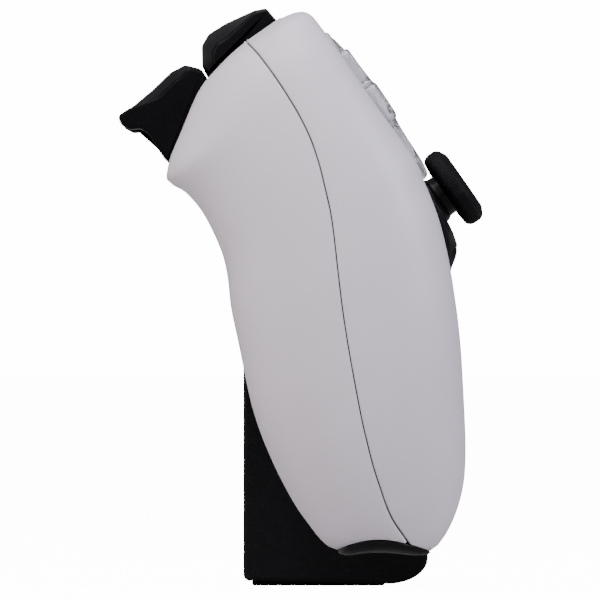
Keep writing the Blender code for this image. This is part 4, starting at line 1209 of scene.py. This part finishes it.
# %% Stand body and foot
def block(outline, low, high, edge):
    """Section in world y and z carried along x with quarter-round ends, in millimetres."""
    outline = resample(outline, 260)
    near = [(edge + 0.35, 0.0)] + [(edge * (1 - math.sin(a)), edge * (1 - math.cos(a))) for a in quarter(7)]
    steps = [(shrink, low + depth) for shrink, depth in near]
    steps += [(shrink, high - depth) for shrink, depth in near[::-1]]
    points, faces = stacked([level(inset(outline, shrink), x) for shrink, x in steps])
    return points[:, [2, 0, 1]], faces


def world_mm(node):
    """Lowest and highest world corner of a CAD node in millimetres."""
    return [np.array(c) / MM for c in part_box(node)]


STAND = world_mm("stand_body")
corners = np.array([v.co[:] for v in NODES["stand_body"].data.vertices]) / MM
side_face = corners[corners[:, 0] < STAND[0][0] + 0.05][:, 1:]
notch = side_face[(np.abs(side_face[:, 0]) < 10) & (side_face[:, 1] > 30)].mean(0)
front_top = side_face[side_face[:, 0] < STAND[0][1] + 0.05][:, 1].max()
(_, y0, z0), (_, y1, z1) = STAND
FRONT_BACK, FRONT_RISE = 8.0, 5.2
sweep = quarter(24)
toe = np.stack([y0 + FRONT_BACK * (1 - np.cos(sweep)), z0 + FRONT_RISE * (1 - np.sin(sweep))], -1)
heel = rounded([(y1, z1), notch, (y0, front_top), (y0, z0 + 15), (y1, z0)], [0.8, 1.0, 0.9, 0.1, 1.2], 12)
BODY_LINE = np.concatenate([heel[:36], toe, heel[48:]])
body = make("stand_block", block(BODY_LINE, STAND[0][0], STAND[1][0], 0.8), "stand", STAND_BLACK,
            "stand_body", pad=False)
low, high = world_mm("foot_pad")
foot = rounded([(low[0], low[1]), (high[0], low[1]), (high[0], high[1]), (low[0], high[1])], 3.0, 10)
(plate_low, _), (_, ballast_high) = world_mm("stand_base_plate"), world_mm("stand_ballast")
side_x, front_y, back_y = 0.3 - plate_low[0], plate_low[1] - 0.3, y1 - 3
hollow = [(-side_x, front_y), (side_x, front_y), (side_x, back_y), (-side_x, back_y)]
tools = [make("cutter", prism(outline, -5, top), None, WHITE, pad=False)
         for outline, top in ((inset(foot, -0.35), high[2] + 0.35), (hollow, ballast_high[2] + 4))]
cut_away(body, tools)
drop(tools)
rings = [level(inset(foot, s), z) for s, z in ((0.25, low[2]), (0.0, low[2] + 0.25), (0.0, high[2] - 0.02))]
make("foot_sheet", stacked(rings), "stand", FOOT_RUBBER, "foot_pad", pad=False)
print("stand notch at", notch.round(1), "front edge up to", round(float(front_top), 1))


# %% [markdown]
# ## Studio
# A pale room: the camera sees a white backdrop and floor, while the object is lit by soft
# boxes above, beside it, in front of the face (cool) and behind (warm). The room's own
# light is kept lower than it looks, so that black plastic stays black.

# %% World, floor, lights and camera
def backdrop(sky_light, seen):
    """World that is white at strength `seen` for the camera and a soft vertical gradient for
    all other rays."""
    world = bpy.data.worlds.new("studio")
    bpy.context.scene.world = world
    world.use_nodes = True
    tree = world.node_tree
    tree.nodes.clear()
    out, path, coords, split, ramp, dim, bright, mix = (tree.nodes.new("ShaderNode" + kind) for kind in (
        "OutputWorld", "LightPath", "TexCoord", "SeparateXYZ", "ValToRGB", "Background", "Background", "MixShader"))
    low, high = ramp.color_ramp.elements
    low.position, low.color = 0.0, (0.20, 0.185, 0.18, 1)
    high.position, high.color = 1.0, (0.92, 0.93, 1.0, 1)
    put(tree, coords.outputs["Generated"], split.inputs[0])
    put(tree, maths(tree, "MULTIPLY_ADD", split.outputs["Z"], 0.5, 0.5), ramp.inputs[0])
    put(tree, ramp.outputs[0], dim.inputs["Color"])
    dim.inputs["Strength"].default_value = sky_light
    bright.inputs["Color"].default_value = (1, 1, 1, 1)
    bright.inputs["Strength"].default_value = seen
    for source, socket in zip((path.outputs["Is Camera Ray"], dim.outputs[0], bright.outputs[0]), mix.inputs):
        put(tree, source, socket)
    put(tree, mix.outputs[0], out.inputs["Surface"])


AIM = (0.0, 0.0, 0.06)


def softbox(name, place, size, power, colour):
    """Rectangular area light aimed at the object; size in metres, power in watts."""
    data = bpy.data.lights.new(name, "AREA")
    data.shape = "RECTANGLE"
    data.size, data.size_y = size
    data.energy = power
    data.color = colour
    lamp = bpy.data.objects.new(name, data)
    bpy.context.collection.objects.link(lamp)
    lamp.location = place
    lamp.rotation_euler = (Vector(AIM) - Vector(place)).to_track_quat("-Z", "Y").to_euler()


def floor():
    """A pale matt table top under the foot; it looks white but throws little light back."""
    half = 14.0
    mesh = bpy.data.meshes.new("floor")
    mesh.from_pydata([(-half, -half, 0), (half, -half, 0), (half, half, 0), (-half, half, 0)], [], [(0, 1, 2, 3)])
    made, tree, shader, _ = material("floor_white")
    shader.inputs["Base Color"].default_value = (0.45, 0.44, 0.44, 1)
    shader.inputs["Roughness"].default_value = 0.9
    shader.inputs["Specular IOR Level"].default_value = 0.0
    shader.inputs["Emission Color"].default_value = (1, 1, 1, 1)
    seen = tree.nodes.new("ShaderNodeLightPath").outputs["Is Camera Ray"]
    put(tree, maths(tree, "MULTIPLY", seen, 14.0), shader.inputs["Emission Strength"])
    mesh.materials.append(made)
    plane = bpy.data.objects.new("floor", mesh)
    bpy.context.collection.objects.link(plane)


backdrop(0.34, 15.0)
floor()
softbox("top_box", (-0.45, 0.35, 1.25), (0.8, 0.8), 18.5, (1.0, 0.98, 1.0))
softbox("face_box", (-0.55, -1.25, 0.75), (0.6, 0.9), 16.5, (0.93, 0.95, 1.0))
softbox("side_box", (-1.5, 0.05, 0.95), (1.2, 0.7), 6.0, (0.99, 0.98, 1.0))
softbox("back_warm", (-0.7, 1.2, 0.45), (0.6, 0.5), 7.5, (1.0, 0.89, 0.82))

# %% Camera
SIDE_DISTANCE = 5.0
FOCUS_DEPTH = SIDE_DISTANCE - 0.06
FRAME_WIDTH = 0.11834
lens_data = bpy.data.cameras.new("side_camera")
camera = bpy.data.objects.new("side_camera", lens_data)
bpy.context.collection.objects.link(camera)
camera.location = (-SIDE_DISTANCE, 0.0071, 0.0568)
camera.rotation_euler = (math.radians(90), 0, math.radians(-90))
lens_data.sensor_width = 36.0
lens_data.lens = lens_data.sensor_width * FOCUS_DEPTH / FRAME_WIDTH
bpy.context.scene.camera = camera
print("studio: four soft boxes, camera", SIDE_DISTANCE, "m from the side")
